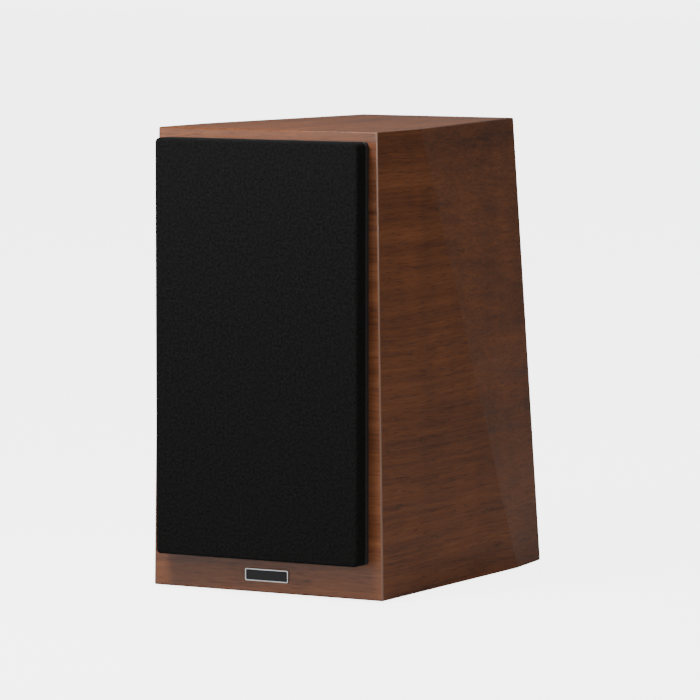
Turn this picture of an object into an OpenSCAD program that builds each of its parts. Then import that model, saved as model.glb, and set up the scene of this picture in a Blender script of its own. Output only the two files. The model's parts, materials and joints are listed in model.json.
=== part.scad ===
// Two-way bookshelf speaker with a pull-off cloth grille.
// The front faces -Y and up is +Z. The origin is at the middle of the box round the whole speaker,
// on the surface that its pads stand on.

/* [Cabinet] */
// Height of the wooden cabinet without its pads
cabinet_h = 300; // [298:1:306]
// Depth of the wooden cabinet
cabinet_d = 233; // [228:1:245]
// Width of the front at the top
front_w_top = 162; // [161:0.5:164]
// Width of the front at the bottom
front_w_bottom = 171; // [170:0.5:174]
// Width of the back at the top
back_w_top = 116; // [114:1:124]
// Distance of the side crease behind the front, at the top
crease_top = 58; // [56:1:64]
// Distance of the side crease behind the front, at the bottom
crease_bottom = 187.5; // [184:0.5:190]
// Thickness of the side, top, bottom and back boards
board_t = 14; // [13:0.5:14]
// Thickness of the front board
front_t = 18; // [18:0.5:19]
// Height of the stick-on pads
pad_h = 1.5; // [1.5:0.1:2]

/* [Baffle and grille] */
// Width of the black baffle and of the grille
baffle_w = 150; // [149:0.5:152]
// Height of the wooden strip under the baffle
strip_h = 22.8; // [22:0.1:23.5]
// Height of the baffle's top edge above the cabinet's bottom
baffle_top = 293.7; // [293:0.1:295]
// How far the baffle stands proud of the cabinet
baffle_t = 4; // [4:0.1:4.2]
// Thickness of the grille, cloth included
grille_t = 11.2; // [11.2:0.1:12]
// Thickness of the grille cloth
cloth_t = 0.6; // [0.5:0.1:0.7]

/* [Drivers] */
// Height of the tweeter's axis above the cabinet's bottom
tweeter_z = 230.6; // [230.4:0.1:231]
// Outer radius of the tweeter's trim ring
tweeter_ring_r = 58.6; // [58.4:0.1:58.8]
// Radius of the horn's throat
throat_r = 14.5; // [14.4:0.1:14.8]
// Radius of the tweeter's dome
dome_r = 12.5; // [12.4:0.1:12.6]
// Height of the woofer's axis above the cabinet's bottom
woofer_z = 97.7; // [97.4:0.1:98]
// Outer radius of the woofer's trim ring
woofer_ring_r = 70; // [69.9:0.1:70.1]
// Radius of the perforated lens
lens_r = 55; // [54.8:0.1:55.2]
// Width of both trim rings
trim_w = 2; // [1.8:0.1:2.1]

/* [Back] */
// Height of the port's axis above the cabinet's bottom
port_z = 210; // [206:1:214]
// Inner radius of the port tube
port_r = 21; // [20:0.5:22]
// Length of the port tube
port_length = 115; // [110:1:120]
// Height of the middle of the terminal cup
cup_z = 74; // [72:1:78]
// Distance between the two binding posts
post_spacing = 38; // [37:0.5:39]
// Radius of the socket for a banana plug
socket_r = 2; // [2:0.05:2.1]

/* [Hidden] */

$fn = 96;
tiny = 0.01;
big = 1000;

// Whole outline. The frame's middle is halfway between the grille's cloth and the back flanges.
flange_t = 2.5;
front_y = -baffle_t - 0.3 - grille_t;
mid_y = (front_y + cabinet_d + flange_t) / 2;

// Rear facet: the plane through the crease and the back's top corner.
crease_top_point = [front_w_top / 2, crease_top, cabinet_h];
crease_bottom_point = [front_w_bottom / 2, crease_bottom, 0];
back_corner = [back_w_top / 2, cabinet_d, cabinet_h];
facet_cross = cross(crease_bottom_point - crease_top_point, back_corner - crease_top_point);
facet_normal = facet_cross / norm(facet_cross);
front_lean = atan((front_w_bottom - front_w_top) / 2 / cabinet_h);

function front_half(z) = (front_w_bottom + (front_w_top - front_w_bottom) * z / cabinet_h) / 2;

// Baffle and grille
baffle_h = baffle_top - strip_h;
baffle_z = (baffle_top + strip_h) / 2;
corner_r = 2.5;
magnet_r = 4;
magnet_t = 2;
magnet_x = baffle_w / 2 - 9;
magnet_z = [strip_h + 9, baffle_top - 9];
trim_proud = 0.6;
ring_gap = 0.1;

// Tweeter, with depths measured back from the cabinet's front
throat_y = 28;
horn_mouth_r = tweeter_ring_r - trim_w - ring_gap;
horn_depth = throat_y + baffle_t;
horn_wall = 2.5;
tweeter_flange_r = tweeter_ring_r + 2.2;
flange_depth = 4;
ear_r = 6.5;
ear_at = 62;
rear_disc_r = 33;
tweeter_plate_y = throat_y + 1.1;
tweeter_motor_screw_at = 30;

// Woofer, with depths measured back from the cabinet's front
woofer_flange_r = woofer_ring_r + 1.5;
cutout_r = 63.5;
rim_y = -12.6;
lens_t = 1.6;
lens_sag = 8.6;
woofer_screw_at = 67;
woofer_screws_count = 6;
coil_r = 12.5;
plate_y = 46;
magnet_y = 51;
yoke_y = 66;
yoke_t = 5;

// Depth of the solder tags, on the woofer and on the tweeter
tag_y = [33.1, 32.1];

// Port, terminal cup and binding posts
port_neck = 7;
cup_w = 92;
cup_h = 68;
recess_w = 80;
recess_h = 56;
recess_d = 30;
cup_wall = 2;
cup_floor_y = cabinet_d + flange_t - recess_d;
stem_r = 3;
collar_h = 3;
nut_y = cup_floor_y + collar_h + 1.4;
nut_h = 15.5;
stem_end_y = nut_y + nut_h + 0.5;
socket_depth = 15;

// Crossover
board_w = 100;
board_d = 70;
board_y = 96;
board_z = board_t + 8;
pcb_t = 1.6;

// Routes of the inner leads, as round numbers, in the cabinet's own coordinates
lead_r = 1.2;
lead_gap = 3.5;
input_route = [[19, 194.4, 74], [19, 190, 73], [20, 185, 68], [23, 180, 58], [27, 175, 46], [31, 169, 36],
    [33, 165, 30], [34, 162.5, 26], [34, 162, 23.7]];
woofer_route = [[29, 104, 23.7], [29, 104, 30], [30, 103.5, 42], [31, 102, 58], [33, 98, 74], [38, 88, 88],
    [43, 76, 95], [47, 64, 98], [50, 52, 98], [52, 42, 98], [52, 34.1, 98]];
tweeter_route = [[-34, 100, 23.7], [-34, 99, 32], [-35, 98, 60], [-36, 96, 100], [-36, 92, 140],
    [-35, 84, 175], [-35, 74, 205], [-34, 62, 222], [-32, 52, 229], [-30.5, 42, 231], [-30, 33.1, 231]];

// Puts a shape that is drawn from the cabinet's front bottom edge into the speaker's frame.
module place() {
    translate([0, -mid_y, pad_h])
        children();
}

// Turns a shape drawn round Z into one round the driver's axis, with Z pointing back.
module on_axis(z) {
    place()
        translate([0, 0, z])
            rotate([-90, 0, 0])
                children();
}

// Everything on the outer side of the plane through a point.
module half_space(point, normal) {
    translate(point)
        rotate([0, -asin(normal.z / norm(normal)), atan2(normal.y, normal.x)])
            translate([0, -big / 2, -big / 2])
                cube(big);
}

// The cabinet's outer shape, with its sides moved in by an inset.
module cabinet_form(inset) {
    step = inset / cos(front_lean);
    difference() {
        rotate([90, 0, 0])
            translate([0, 0, -cabinet_d])
                linear_extrude(cabinet_d)
                    polygon([
                        [-front_half(0) + step, 0], [front_half(0) - step, 0],
                        [front_half(cabinet_h) - step, cabinet_h], [-front_half(cabinet_h) + step, cabinet_h]]);
        for (side = [-1, 1])
            half_space(
                [side * crease_top_point.x, crease_top_point.y, crease_top_point.z]
                    - inset * [side * facet_normal.x, facet_normal.y, facet_normal.z],
                [side * facet_normal.x, facet_normal.y, facet_normal.z]);
    }
}

// A slab of the cabinet's space between two depths and two heights.
module slab(y0, y1, z0, z1) {
    translate([-big / 2, y0, z0])
        cube([big, y1 - y0, z1 - z0]);
}

// A plate with round corners, standing in the XZ plane, from depth y0 back by t.
module upright_plate(w, h, t, r, z, y0) {
    translate([0, y0, z])
        rotate([-90, 0, 0])
            linear_extrude(t)
                rounded_outline(w, h, r);
}

module rounded_outline(w, h, r) {
    square([w - 2 * r, h], center = true);
    square([w, h - 2 * r], center = true);
    for (x = [-1, 1], y = [-1, 1])
        translate([x * (w / 2 - r), y * (h / 2 - r)])
            circle(r);
}

// A ring between two radii and two depths.
module ring(r_in, r_out, y0, y1) {
    translate([0, 0, y0])
        difference() {
            cylinder(r = r_out, h = y1 - y0);
            translate([0, 0, -1])
                cylinder(r = r_in, h = y1 - y0 + 2);
        }
}

module disc(r, y0, y1) {
    translate([0, 0, y0])
        cylinder(r = r, h = y1 - y0);
}

// A round tube that follows a list of points, as one closed surface.
function unit(v) = v / norm(v);
function route_tangent(p, i) = unit(p[min(i + 1, len(p) - 1)] - p[max(i - 1, 0)]);
function route_side(t) = unit(cross(t, abs(t.x) < 0.9 ? [1, 0, 0] : [0, 0, 1]));
module tube_along(route, r, sides = 8) {
    last = len(route) - 1;
    points = [for (i = [0:last]) let (t = route_tangent(route, i), u = route_side(t), v = cross(t, u))
        for (k = [0:sides - 1]) route[i] + r * (cos(360 * k / sides) * u + sin(360 * k / sides) * v)];
    walls = [for (i = [0:last - 1], k = [0:sides - 1]) let (n = (k + 1) % sides)
        [i * sides + k, i * sides + n, (i + 1) * sides + n, (i + 1) * sides + k]];
    first_cap = [for (k = [sides - 1:-1:0]) k];
    last_cap = [for (k = [0:sides - 1]) last * sides + k];
    polyhedron(points, concat([first_cap], walls, [last_cap]), convexity = 4);
}

function mirrored(route) = [for (p = route) [-p.x, p.y, p.z]];
function shifted(route, d) = [for (p = route) p + d];

// ---- cabinet ----

module tweeter_flange_outline(extra) {
    circle(tweeter_flange_r + extra);
    for (a = [45:90:315])
        rotate(a)
            translate([ear_at, 0])
                circle(ear_r + extra);
}

module front_panel() {
    color("saddlebrown")
        difference() {
            place()
                intersection() {
                    cabinet_form(0);
                    slab(0, front_t, 0, cabinet_h);
                }
            on_axis(woofer_z) {
                disc(woofer_flange_r + 0.7, -1, flange_depth);
                disc(cutout_r, -1, front_t + 1);
                screw_holes(woofer_screws_count, 0, woofer_screw_at, 2.1, flange_depth - 1, front_t - 1);
            }
            on_axis(tweeter_z) {
                translate([0, 0, -1])
                    linear_extrude(flange_depth + 1)
                        tweeter_flange_outline(0.6);
                disc(tweeter_ring_r - 5, -1, front_t + 1);
                screw_holes(4, 45, ear_at, 1.7, flange_depth - 1, front_t - 3);
            }
        }
}

module screw_holes(count, start, at, r, y0, y1) {
    for (i = [0:count - 1])
        rotate(start + i * 360 / count)
            translate([at, 0, 0])
                disc(r, y0, y1);
}

module back_panel() {
    color("#2b2320")
        difference() {
            place()
                intersection() {
                    cabinet_form(board_t);
                    slab(cabinet_d - board_t, cabinet_d, board_t, cabinet_h - board_t);
                }
            on_axis(port_z)
                disc(port_r + port_neck + 0.3, cabinet_d - board_t - 1, cabinet_d + 1);
            place() {
                upright_plate(recess_w + 2 * cup_wall + 0.6, recess_h + 2 * cup_wall + 0.6, board_t + 2, 7,
                    cup_z, cabinet_d - board_t - 1);
                cup_screw_places()
                    disc(1.3, cabinet_d - 11, cabinet_d + 1);
            }
        }
}

module cup_screw_places() {
    for (x = [-1, 1], z = [-1, 1])
        translate([x * (cup_w / 2 - 4), 0, cup_z + z * (cup_h / 2 - 4)])
            rotate([-90, 0, 0])
                children();
}

module side_panel(side) {
    color("saddlebrown")
        place()
            difference() {
                intersection() {
                    cabinet_form(0);
                    slab(front_t, cabinet_d, board_t, cabinet_h - board_t);
                    translate([side > 0 ? 0 : -big, 0, 0])
                        cube(big);
                }
                cabinet_form(board_t);
            }
}

module side_panel_left() { side_panel(-1); }
module side_panel_right() { side_panel(1); }

module top_panel() {
    color("saddlebrown")
        place()
            intersection() {
                cabinet_form(0);
                slab(front_t, cabinet_d, cabinet_h - board_t, cabinet_h);
            }
}

module bottom_panel() {
    color("saddlebrown")
        place()
            intersection() {
                cabinet_form(0);
                slab(front_t, cabinet_d, 0, board_t);
            }
}

module window_brace() {
    brace_z = 158;
    brace_t = 12;
    color("burlywood")
        place()
            difference() {
                intersection() {
                    cabinet_form(board_t);
                    slab(front_t, cabinet_d - board_t, brace_z, brace_z + brace_t);
                }
                translate([0, 120, brace_z - 1])
                    linear_extrude(brace_t + 2)
                        rounded_outline(84, 130, 12);
            }
}

module baffle() {
    color("#303236")
        difference() {
            place()
                upright_plate(baffle_w, baffle_h, baffle_t, corner_r, baffle_z, -baffle_t);
            on_axis(woofer_z)
                disc(woofer_ring_r + ring_gap, -baffle_t - 1, 1);
            on_axis(tweeter_z)
                disc(tweeter_ring_r + ring_gap, -baffle_t - 1, 1);
            magnet_places(-magnet_t)
                disc(magnet_r + 0.1, 0, magnet_t + 1);
        }
}

module magnet_places(y) {
    place()
        for (x = [-1, 1], z = magnet_z)
            translate([x * magnet_x, y, z])
                rotate([-90, 0, 0])
                    children();
}

module baffle_magnets() {
    color("silver")
        magnet_places(-magnet_t)
            disc(magnet_r, 0, magnet_t - 0.05);
}

module badge() {
    badge_w = 32;
    badge_h = 8;
    badge_t = 1;
    border = 0.7;
    color("#181818")
        place() {
            upright_plate(badge_w, badge_h, badge_t - 0.3, 1, strip_h / 2, -badge_t + 0.3);
            difference() {
                upright_plate(badge_w, badge_h, 0.3 + tiny, 1, strip_h / 2, -badge_t);
                upright_plate(badge_w - 2 * border, badge_h - 2 * border, 2, 0.6, strip_h / 2, -badge_t - 1);
            }
        }
}

module pads() {
    pad_r = 7;
    color("#202020")
        for (x = [-1, 1], y = [20, cabinet_d - 20])
            place()
                translate([x * 64, y, -pad_h])
                    cylinder(r = pad_r, h = pad_h);
}

// A pad of fibre that lines one side wall of the upper chamber.
module wadding(side) {
    wall_gap = 0.5;
    pad_t = 12;
    color("#d8d4c8")
        place()
            difference() {
                intersection() {
                    cabinet_form(board_t + wall_gap);
                    slab(70, 205, 176, 280);
                    translate([side > 0 ? 0 : -big, 0, 0])
                        cube(big);
                }
                cabinet_form(board_t + wall_gap + pad_t);
            }
}

module wadding_left() { wadding(-1); }
module wadding_right() { wadding(1); }

// ---- grille ----

grille_back_y = -baffle_t - 0.3;
frame_front_y = front_y + cloth_t;

module grille_frame() {
    opening_r = woofer_ring_r + 0.8;
    hem_w = 3.6;
    color("#151515")
        difference() {
            place()
                union() {
                    upright_plate(baffle_w - 2 * cloth_t, baffle_h - 2 * cloth_t,
                        grille_back_y - cloth_t - frame_front_y, corner_r, baffle_z, frame_front_y);
                    upright_plate(baffle_w - 2 * hem_w, baffle_h - 2 * hem_w, grille_back_y - frame_front_y,
                        corner_r, baffle_z, frame_front_y);
                }
            on_axis(woofer_z)
                disc(opening_r, frame_front_y - 1, grille_back_y + 1);
            on_axis(tweeter_z)
                disc(tweeter_ring_r + 0.9, frame_front_y - 1, grille_back_y + 1);
            place()
                translate([-34, frame_front_y - 1, woofer_z + 40])
                    cube([68, grille_t + 2, tweeter_z - woofer_z - 70]);
            magnet_places(grille_back_y - magnet_t)
                disc(magnet_r + 0.1, 0, magnet_t + 1);
        }
}

module grille_cloth() {
    color("#26282a")
        place()
            upright_plate(baffle_w, baffle_h, cloth_t, corner_r + cloth_t, baffle_z, front_y);
}

module grille_magnets() {
    color("silver")
        magnet_places(grille_back_y - magnet_t)
            disc(magnet_r, 0, magnet_t - 0.05);
}

// ---- tweeter ----

// The horn's inner radius at a distance in front of the throat.
function horn_radius(s) = sqrt(throat_r * throat_r
    + (horn_mouth_r * horn_mouth_r - throat_r * throat_r) * s * s / (horn_depth * horn_depth));

module waveguide() {
    steps = 40;
    inner = [for (i = [0:steps]) let (s = horn_depth * i / steps) [horn_radius(s), throat_y - s]];
    outer = [
        [horn_mouth_r, 0], [tweeter_flange_r, 0], [tweeter_flange_r, flange_depth],
        [horn_radius(throat_y - flange_depth) + horn_wall, flange_depth],
        [horn_radius(throat_y - 14) + horn_wall, 14],
        [horn_radius(throat_y - 22) + horn_wall, 22],
        [rear_disc_r, 24], [rear_disc_r, throat_y]];
    color("#2c2c2c")
        on_axis(tweeter_z)
            difference() {
                union() {
                    rotate_extrude()
                        polygon(concat(inner, outer));
                    linear_extrude(flange_depth)
                        difference() {
                            tweeter_flange_outline(0);
                            circle(tweeter_flange_r - 2);
                        }
                }
                screw_holes(4, 45, ear_at, 1.8, -1, flange_depth + 1);
                screw_holes(4, 45, ear_at, 3.3, -1, 1.8);
                screw_holes(3, 90, tweeter_motor_screw_at, 1.3, 25, throat_y + 1);
            }
}

module trim_ring(r) {
    rotate_extrude()
        polygon([[r - trim_w, 0], [r, 0], [r, -baffle_t - trim_proud + 0.5], [r - 0.5, -baffle_t - trim_proud],
            [r - trim_w + 0.6, -baffle_t - trim_proud], [r - trim_w, -baffle_t]]);
}

module tweeter_ring() {
    color("silver")
        on_axis(tweeter_z)
            trim_ring(tweeter_ring_r);
}

// A pan-head screw whose head rests at depth y0, pointing back.
module screw(head_r, head_h, shank_r, y0, length) {
    difference() {
        disc(head_r, y0, y0 + head_h);
        translate([0, 0, y0 - tiny])
            linear_extrude(head_h * 0.6)
                circle(head_r * 0.45, $fn = 6);
    }
    disc(shank_r, y0 + head_h - tiny, y0 + length);
}

module tweeter_screws() {
    color("#202020")
        on_axis(tweeter_z)
            for (a = [45:90:315])
                rotate(a)
                    translate([ear_at, 0, 0])
                        screw(3.1, 1.7, 1.5, 0.1, 13);
}

module tweeter_dome() {
    dome_h = 5.5;
    dome_t = 0.4;
    ball_r = (dome_r * dome_r + dome_h * dome_h) / (2 * dome_h);
    base_y = throat_y + 0.4;
    color("#101012")
        on_axis(tweeter_z)
            difference() {
                translate([0, 0, base_y - dome_h + ball_r])
                    sphere(ball_r);
                translate([0, 0, base_y - dome_h + ball_r])
                    sphere(ball_r - dome_t);
                disc(big / 10, base_y, base_y + 60);
            }
}

// A half-round roll between two radii, with flat lands, bulging forward.
module roll_surround(r_in, r_out, land_in, land_out, y, height, t, steps = 12) {
    middle = (r_in + r_out) / 2;
    half = (r_out - r_in) / 2;
    front = [for (i = [0:steps]) let (a = 180 - 180 * i / steps)
        [middle + half * cos(a), y - height * sin(a)]];
    back = [for (i = [steps:-1:0]) let (a = 180 - 180 * i / steps)
        [middle + (half - t * sin(a)) * cos(a), y + t - height * sin(a)]];
    rotate_extrude()
        polygon(concat([[land_in, y]], front, [[land_out, y], [land_out, y + t]], back, [[land_in, y + t]]));
}

module tweeter_surround() {
    color("#141414")
        on_axis(tweeter_z)
            roll_surround(dome_r + 0.35, throat_r - 0.1, dome_r + 0.05, 18, throat_y + 0.45, 0.8, 0.35);
}

module tweeter_coil() {
    color("#b87333")
        on_axis(tweeter_z) {
            ring(dome_r - 0.35, dome_r - 0.1, throat_y + 0.45, throat_y + 6);
            ring(dome_r - 0.12, dome_r + 0.15, throat_y + 2, throat_y + 5);
        }
}

module tweeter_plate() {
    color("#707070")
        on_axis(tweeter_z)
            difference() {
                ring(dome_r + 0.6, rear_disc_r, tweeter_plate_y, tweeter_plate_y + 3);
                screw_holes(3, 90, tweeter_motor_screw_at, 1.4, tweeter_plate_y - 1, tweeter_plate_y + 4);
            }
}

module tweeter_magnet() {
    color("#3a3a3c")
        on_axis(tweeter_z)
            ring(18, 27, tweeter_plate_y + 3, tweeter_plate_y + 13);
}

module tweeter_yoke() {
    color("#707070")
        on_axis(tweeter_z) {
            disc(27, tweeter_plate_y + 13, tweeter_plate_y + 17);
            disc(dome_r - 0.7, throat_y + 1.5, tweeter_plate_y + 13.5);
        }
}

module tweeter_motor_screws() {
    color("#b0b0b0")
        on_axis(tweeter_z)
            for (a = [90, 210, 330])
                rotate(a)
                    translate([tweeter_motor_screw_at, 0, tweeter_plate_y + 5])
                        rotate([180, 0, 0])
                            screw(2.4, 1.9, 1.2, 0, 7.5);
}

// ---- woofer ----

module woofer_ring() {
    color("silver")
        on_axis(woofer_z)
            trim_ring(woofer_ring_r);
}

// The cone-shaped flange that rises from the trim ring to the lens, with its row of slots.
module slotted_flange() {
    foot_r = woofer_ring_r - trim_w - ring_gap;
    t = 1.8;
    slots = 108;
    color("#26262a")
        on_axis(woofer_z)
            difference() {
                rotate_extrude()
                    polygon([[foot_r, 0], [foot_r, -baffle_t + 0.4], [lens_r + 2.2, rim_y + 0.6], [lens_r + 1.2, rim_y],
                        [lens_r + 0.4, rim_y], [lens_r + 0.1, rim_y + 1], [lens_r + 0.1, rim_y + 2.6],
                        [lens_r + 1.2, rim_y + 2.6], [foot_r - t, -baffle_t + 1.6], [foot_r - t, 0]]);
                for (i = [0:slots - 1])
                    rotate(i * 360 / slots)
                        translate([foot_r - 5.4, -0.9, -baffle_t - 6])
                            cube([3.4, 1.8, 9]);
            }
}

// A shallow bowl that hangs back from the rim: its front surface is part of a sphere.
module lens() {
    bowl_r = (lens_r * lens_r + lens_sag * lens_sag) / (2 * lens_sag);
    bowl_y = rim_y + lens_sag - bowl_r;
    color("#2a2a2e")
        on_axis(woofer_z)
            difference() {
                intersection() {
                    translate([0, 0, bowl_y])
                        sphere(bowl_r + lens_t);
                    disc(lens_r, rim_y + 0.2, 20);
                }
                translate([0, 0, bowl_y])
                    sphere(bowl_r);
            }
}

module basket() {
    windows = 6;
    window_angle = 40;
    color("#3c3e42")
        on_axis(woofer_z)
            difference() {
                union() {
                    rotate_extrude()
                        polygon([
                            [56.5, 3.4], [62.2, 3.4], [62.2, 0], [woofer_flange_r, 0], [woofer_flange_r, flange_depth],
                            [62.6, flange_depth], [62.6, 9], [44, 42], [38, plate_y], [18, plate_y], [18, 43],
                            [37, 43], [41, 40], [58.5, 8.5], [58.5, 5.4], [56.5, 5.4]]);
                    ring(41.3, 48, 30.6, 32.6);
                    translate([46.5, -4, tag_y[0] - 2.8])
                        cube([12, 8, 2.7]);
                }
                for (i = [0:windows - 1])
                    rotate(i * 360 / windows - window_angle / 2)
                        rotate_extrude(angle = window_angle)
                            translate([40, 11])
                                square([40, 17.5]);
                screw_holes(woofer_screws_count, 0, woofer_screw_at, 2.3, -1, flange_depth + 1);
                screw_holes(woofer_screws_count, 0, woofer_screw_at, 3.7, -1, 2);
            }
}

module gasket() {
    color("#1a1a1a")
        on_axis(woofer_z)
            ring(57, 62, 0.2, 2.6);
}

module woofer_screws() {
    color("#202020")
        on_axis(woofer_z)
            for (i = [0:woofer_screws_count - 1])
                rotate(i * 360 / woofer_screws_count)
                    translate([woofer_screw_at, 0, 0])
                        screw(3.5, 1.8, 1.9, 0.15, 15);
}

cone_out_r = 48.5;
cone_out_y = 5.5;
cone_in_y = 23;

module cone() {
    t = 0.8;
    color("#1c1c20")
        on_axis(woofer_z)
            rotate_extrude()
                polygon([[cone_out_r, cone_out_y], [cone_out_r, cone_out_y + t], [34, 13.6], [coil_r + 0.5, cone_in_y + t],
                    [coil_r + 0.5, cone_in_y - 0.6], [34, 12.6]]);
}

module dust_cap() {
    cap_r = 16;
    cap_h = 5;
    t = 0.6;
    ball_r = (cap_r * cap_r + cap_h * cap_h) / (2 * cap_h);
    base_y = 20.4;
    color("#1c1c20")
        on_axis(woofer_z)
            difference() {
                translate([0, 0, base_y - cap_h + ball_r])
                    sphere(ball_r);
                translate([0, 0, base_y - cap_h + ball_r])
                    sphere(ball_r - t);
                disc(big / 10, base_y, base_y + 80);
            }
}

module woofer_surround() {
    color("#141414")
        on_axis(woofer_z)
            roll_surround(cone_out_r + 0.3, 56.8, cone_out_r - 2.2, 62, 2.65, 4, 0.7);
}

module spider() {
    waves = 4;
    steps = 32;
    r0 = coil_r + 0.55;
    r1 = 45.8;
    flat = 5;
    t = 0.6;
    top = [for (i = [0:steps]) let (f = i / steps)
        [r0 + (r1 - flat - r0) * f, 30 - 1.2 * sin(360 * waves * f)]];
    bottom = [for (i = [steps:-1:0]) top[i] + [0, t]];
    color("#c9a24a")
        on_axis(woofer_z)
            rotate_extrude()
                polygon(concat(top, [[r1, 30], [r1, 30 + t]], bottom));
}

module woofer_coil() {
    color("#b87333")
        on_axis(woofer_z) {
            ring(coil_r, coil_r + 0.45, cone_in_y - 2, plate_y + 8);
            ring(coil_r + 0.4, coil_r + 1.05, plate_y - 2.5, plate_y + 7.5);
        }
}

module woofer_plate() {
    color("#707070")
        on_axis(woofer_z)
            ring(coil_r + 1.4, 36, plate_y, magnet_y);
}

module woofer_magnet() {
    color("#3a3a3c")
        on_axis(woofer_z)
            ring(18, 40, magnet_y, yoke_y);
}

module woofer_yoke() {
    color("#707070")
        on_axis(woofer_z)
            difference() {
                union() {
                    disc(37, yoke_y, yoke_y + yoke_t);
                    disc(coil_r - 0.35, plate_y, yoke_y + 1);
                }
                disc(4, plate_y - 1, yoke_y + yoke_t + 1);
            }
}

// Brass tags that the leads are soldered to, on the basket's lug and on the tweeter's plate.
module driver_tags() {
    size = [2.8, 5, 0.9];
    color("#c8a24c")
        place()
            for (i = [0, 1]) {
                translate([52 + i * lead_gap - size.x / 2, tag_y[0], woofer_z - size.y / 2])
                    cube([size.x, size.z, size.y]);
                translate([-30 - i * lead_gap - size.x / 2, tag_y[1], tweeter_z - size.y / 2])
                    cube([size.x, size.z, size.y]);
            }
}

// ---- back ----

module port_tube() {
    wall = 2;
    flare = 11;
    steps = 10;
    end_y = cabinet_d + flange_t;
    start_y = end_y - port_length;
    small = 6;
    mouth = [for (i = [0:steps]) let (a = 90 * i / steps)
        [port_r + flare * (1 - cos(a)), end_y - flare * (1 - sin(a))]];
    inner_end = [for (i = [0:steps]) let (a = 90 - 90 * i / steps)
        [port_r + small * (1 - cos(a)), start_y + small * (1 - sin(a))]];
    color("#1a1a1c")
        on_axis(port_z)
            rotate_extrude()
                polygon(concat(inner_end, mouth, [
                    [port_r + flare + 3, end_y - 0.6], [port_r + flare + 3, cabinet_d],
                    [port_r + port_neck, cabinet_d], [port_r + port_neck - 1, end_y - flare / 2],
                    [port_r + wall, end_y - flare - 1], [port_r + wall, start_y + small],
                    [port_r + small, start_y + wall]]));
}

module terminal_cup() {
    color("#1a1a1c")
        difference() {
            place()
                union() {
                    upright_plate(cup_w, cup_h, flange_t, 6, cup_z, cabinet_d);
                    upright_plate(recess_w + 2 * cup_wall, recess_h + 2 * cup_wall, recess_d + cup_wall - tiny, 6,
                        cup_z, cup_floor_y - cup_wall);
                }
            place() {
                upright_plate(recess_w, recess_h, recess_d + 1, 4, cup_z, cup_floor_y);
                cup_screw_places() {
                    disc(1.7, cabinet_d - 1, cabinet_d + flange_t + 1);
                    disc(3.1, cabinet_d + flange_t - 1.8, cabinet_d + flange_t + 1);
                }
            }
            for (side = [-1, 1])
                post_axis(side)
                    disc(stem_r + 0.1, cup_floor_y - cup_wall - 1, cup_floor_y + 1);
        }
}

// Puts a shape drawn round Z on one binding post's axis, with Z pointing back.
module post_axis(side) {
    place()
        translate([side * post_spacing / 2, 0, cup_z])
            rotate([-90, 0, 0])
                children();
}

module cup_screws() {
    color("#303030")
        place()
            cup_screw_places()
                translate([0, 0, cabinet_d + flange_t - 0.1])
                    rotate([180, 0, 0])
                        screw(2.8, 1.6, 1.2, 0, 13);
}

module post_stems() {
    inner_y = cup_floor_y - cup_wall;
    color("#c8a24c")
        for (side = [-1, 1])
            post_axis(side)
                difference() {
                    union() {
                        disc(stem_r, inner_y - 9, stem_end_y);
                        disc(7, cup_floor_y, cup_floor_y + collar_h);
                        disc(5, inner_y - 3, inner_y);
                    }
                    disc(socket_r, stem_end_y - socket_depth, stem_end_y + 1);
                }
}

module washer(side) {
    color("#c8a24c")
        post_axis(side)
            ring(stem_r + 0.2, 7, cup_floor_y + collar_h + 0.1, nut_y - 0.1);
}

module nut(side) {
    color("#c8a24c")
        post_axis(side)
            difference() {
                union() {
                    disc(8, nut_y, nut_y + 2.5);
                    disc(6, nut_y + 2, nut_y + nut_h);
                }
                disc(stem_r + 0.05, nut_y - 1, nut_y + nut_h + 1);
            }
}

module grip(side) {
    lobes = 16;
    steps = 96;
    color(side > 0 ? "#b01818" : "#151515")
        post_axis(side)
            difference() {
                translate([0, 0, nut_y + 2.6])
                    linear_extrude(nut_h - 3.4)
                        polygon([for (i = [0:steps - 1]) let (a = 360 * i / steps)
                            (7.9 + 0.35 * cos(lobes * a)) * [cos(a), sin(a)]]);
                disc(6.03, nut_y, nut_y + nut_h + 1);
            }
}

module washer_left() { washer(-1); }
module washer_right() { washer(1); }
module nut_left() { nut(-1); }
module nut_right() { nut(1); }
module grip_left() { grip(-1); }
module grip_right() { grip(1); }

// ---- inside ----

module crossover_board() {
    color("#2f6b3a")
        place()
            translate([-board_w / 2, board_y, board_z])
                cube([board_w, board_d, pcb_t]);
}

module standoffs() {
    color("#c0c0c0")
        place()
            for (x = [-1, 1], y = [6, board_d - 6])
                translate([x * (board_w / 2 - 6), board_y + y, board_t])
                    cylinder(r = 3, h = board_z - board_t);
}

module coil_on_board(x, y, r_in, r_out, h) {
    color("#b87333")
        place()
            translate([x, board_y + y, board_z + pcb_t])
                difference() {
                    cylinder(r = r_out, h = h);
                    translate([0, 0, -1])
                        cylinder(r = r_in, h = h + 2);
                }
}

module woofer_inductor() { coil_on_board(-24, 46, 9, 20, 16); }
module tweeter_inductor() { coil_on_board(24, 50, 6, 13, 12); }

module capacitors() {
    color("#c8b020")
        place()
            for (i = [0:2])
                translate([-16 + 17 * i, board_y + 4, board_z + pcb_t + 7])
                    rotate([0, 90, 90])
                        cylinder(r = 7, h = i == 0 ? 16 : 22);
}

module resistors() {
    color("#e0ddd0")
        place()
            for (i = [0:1])
                translate([38, board_y + 4 + 14 * i, board_z + pcb_t])
                    cube([9, 11, 9]);
}

module input_leads() {
    color("#8c1c1c")
        place() {
            tube_along(input_route, lead_r);
            tube_along(mirrored(input_route), lead_r);
        }
}

module woofer_leads() {
    color("#202020")
        place() {
            tube_along(woofer_route, lead_r);
            tube_along(shifted(woofer_route, [lead_gap, 0, 0]), lead_r);
        }
}

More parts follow.
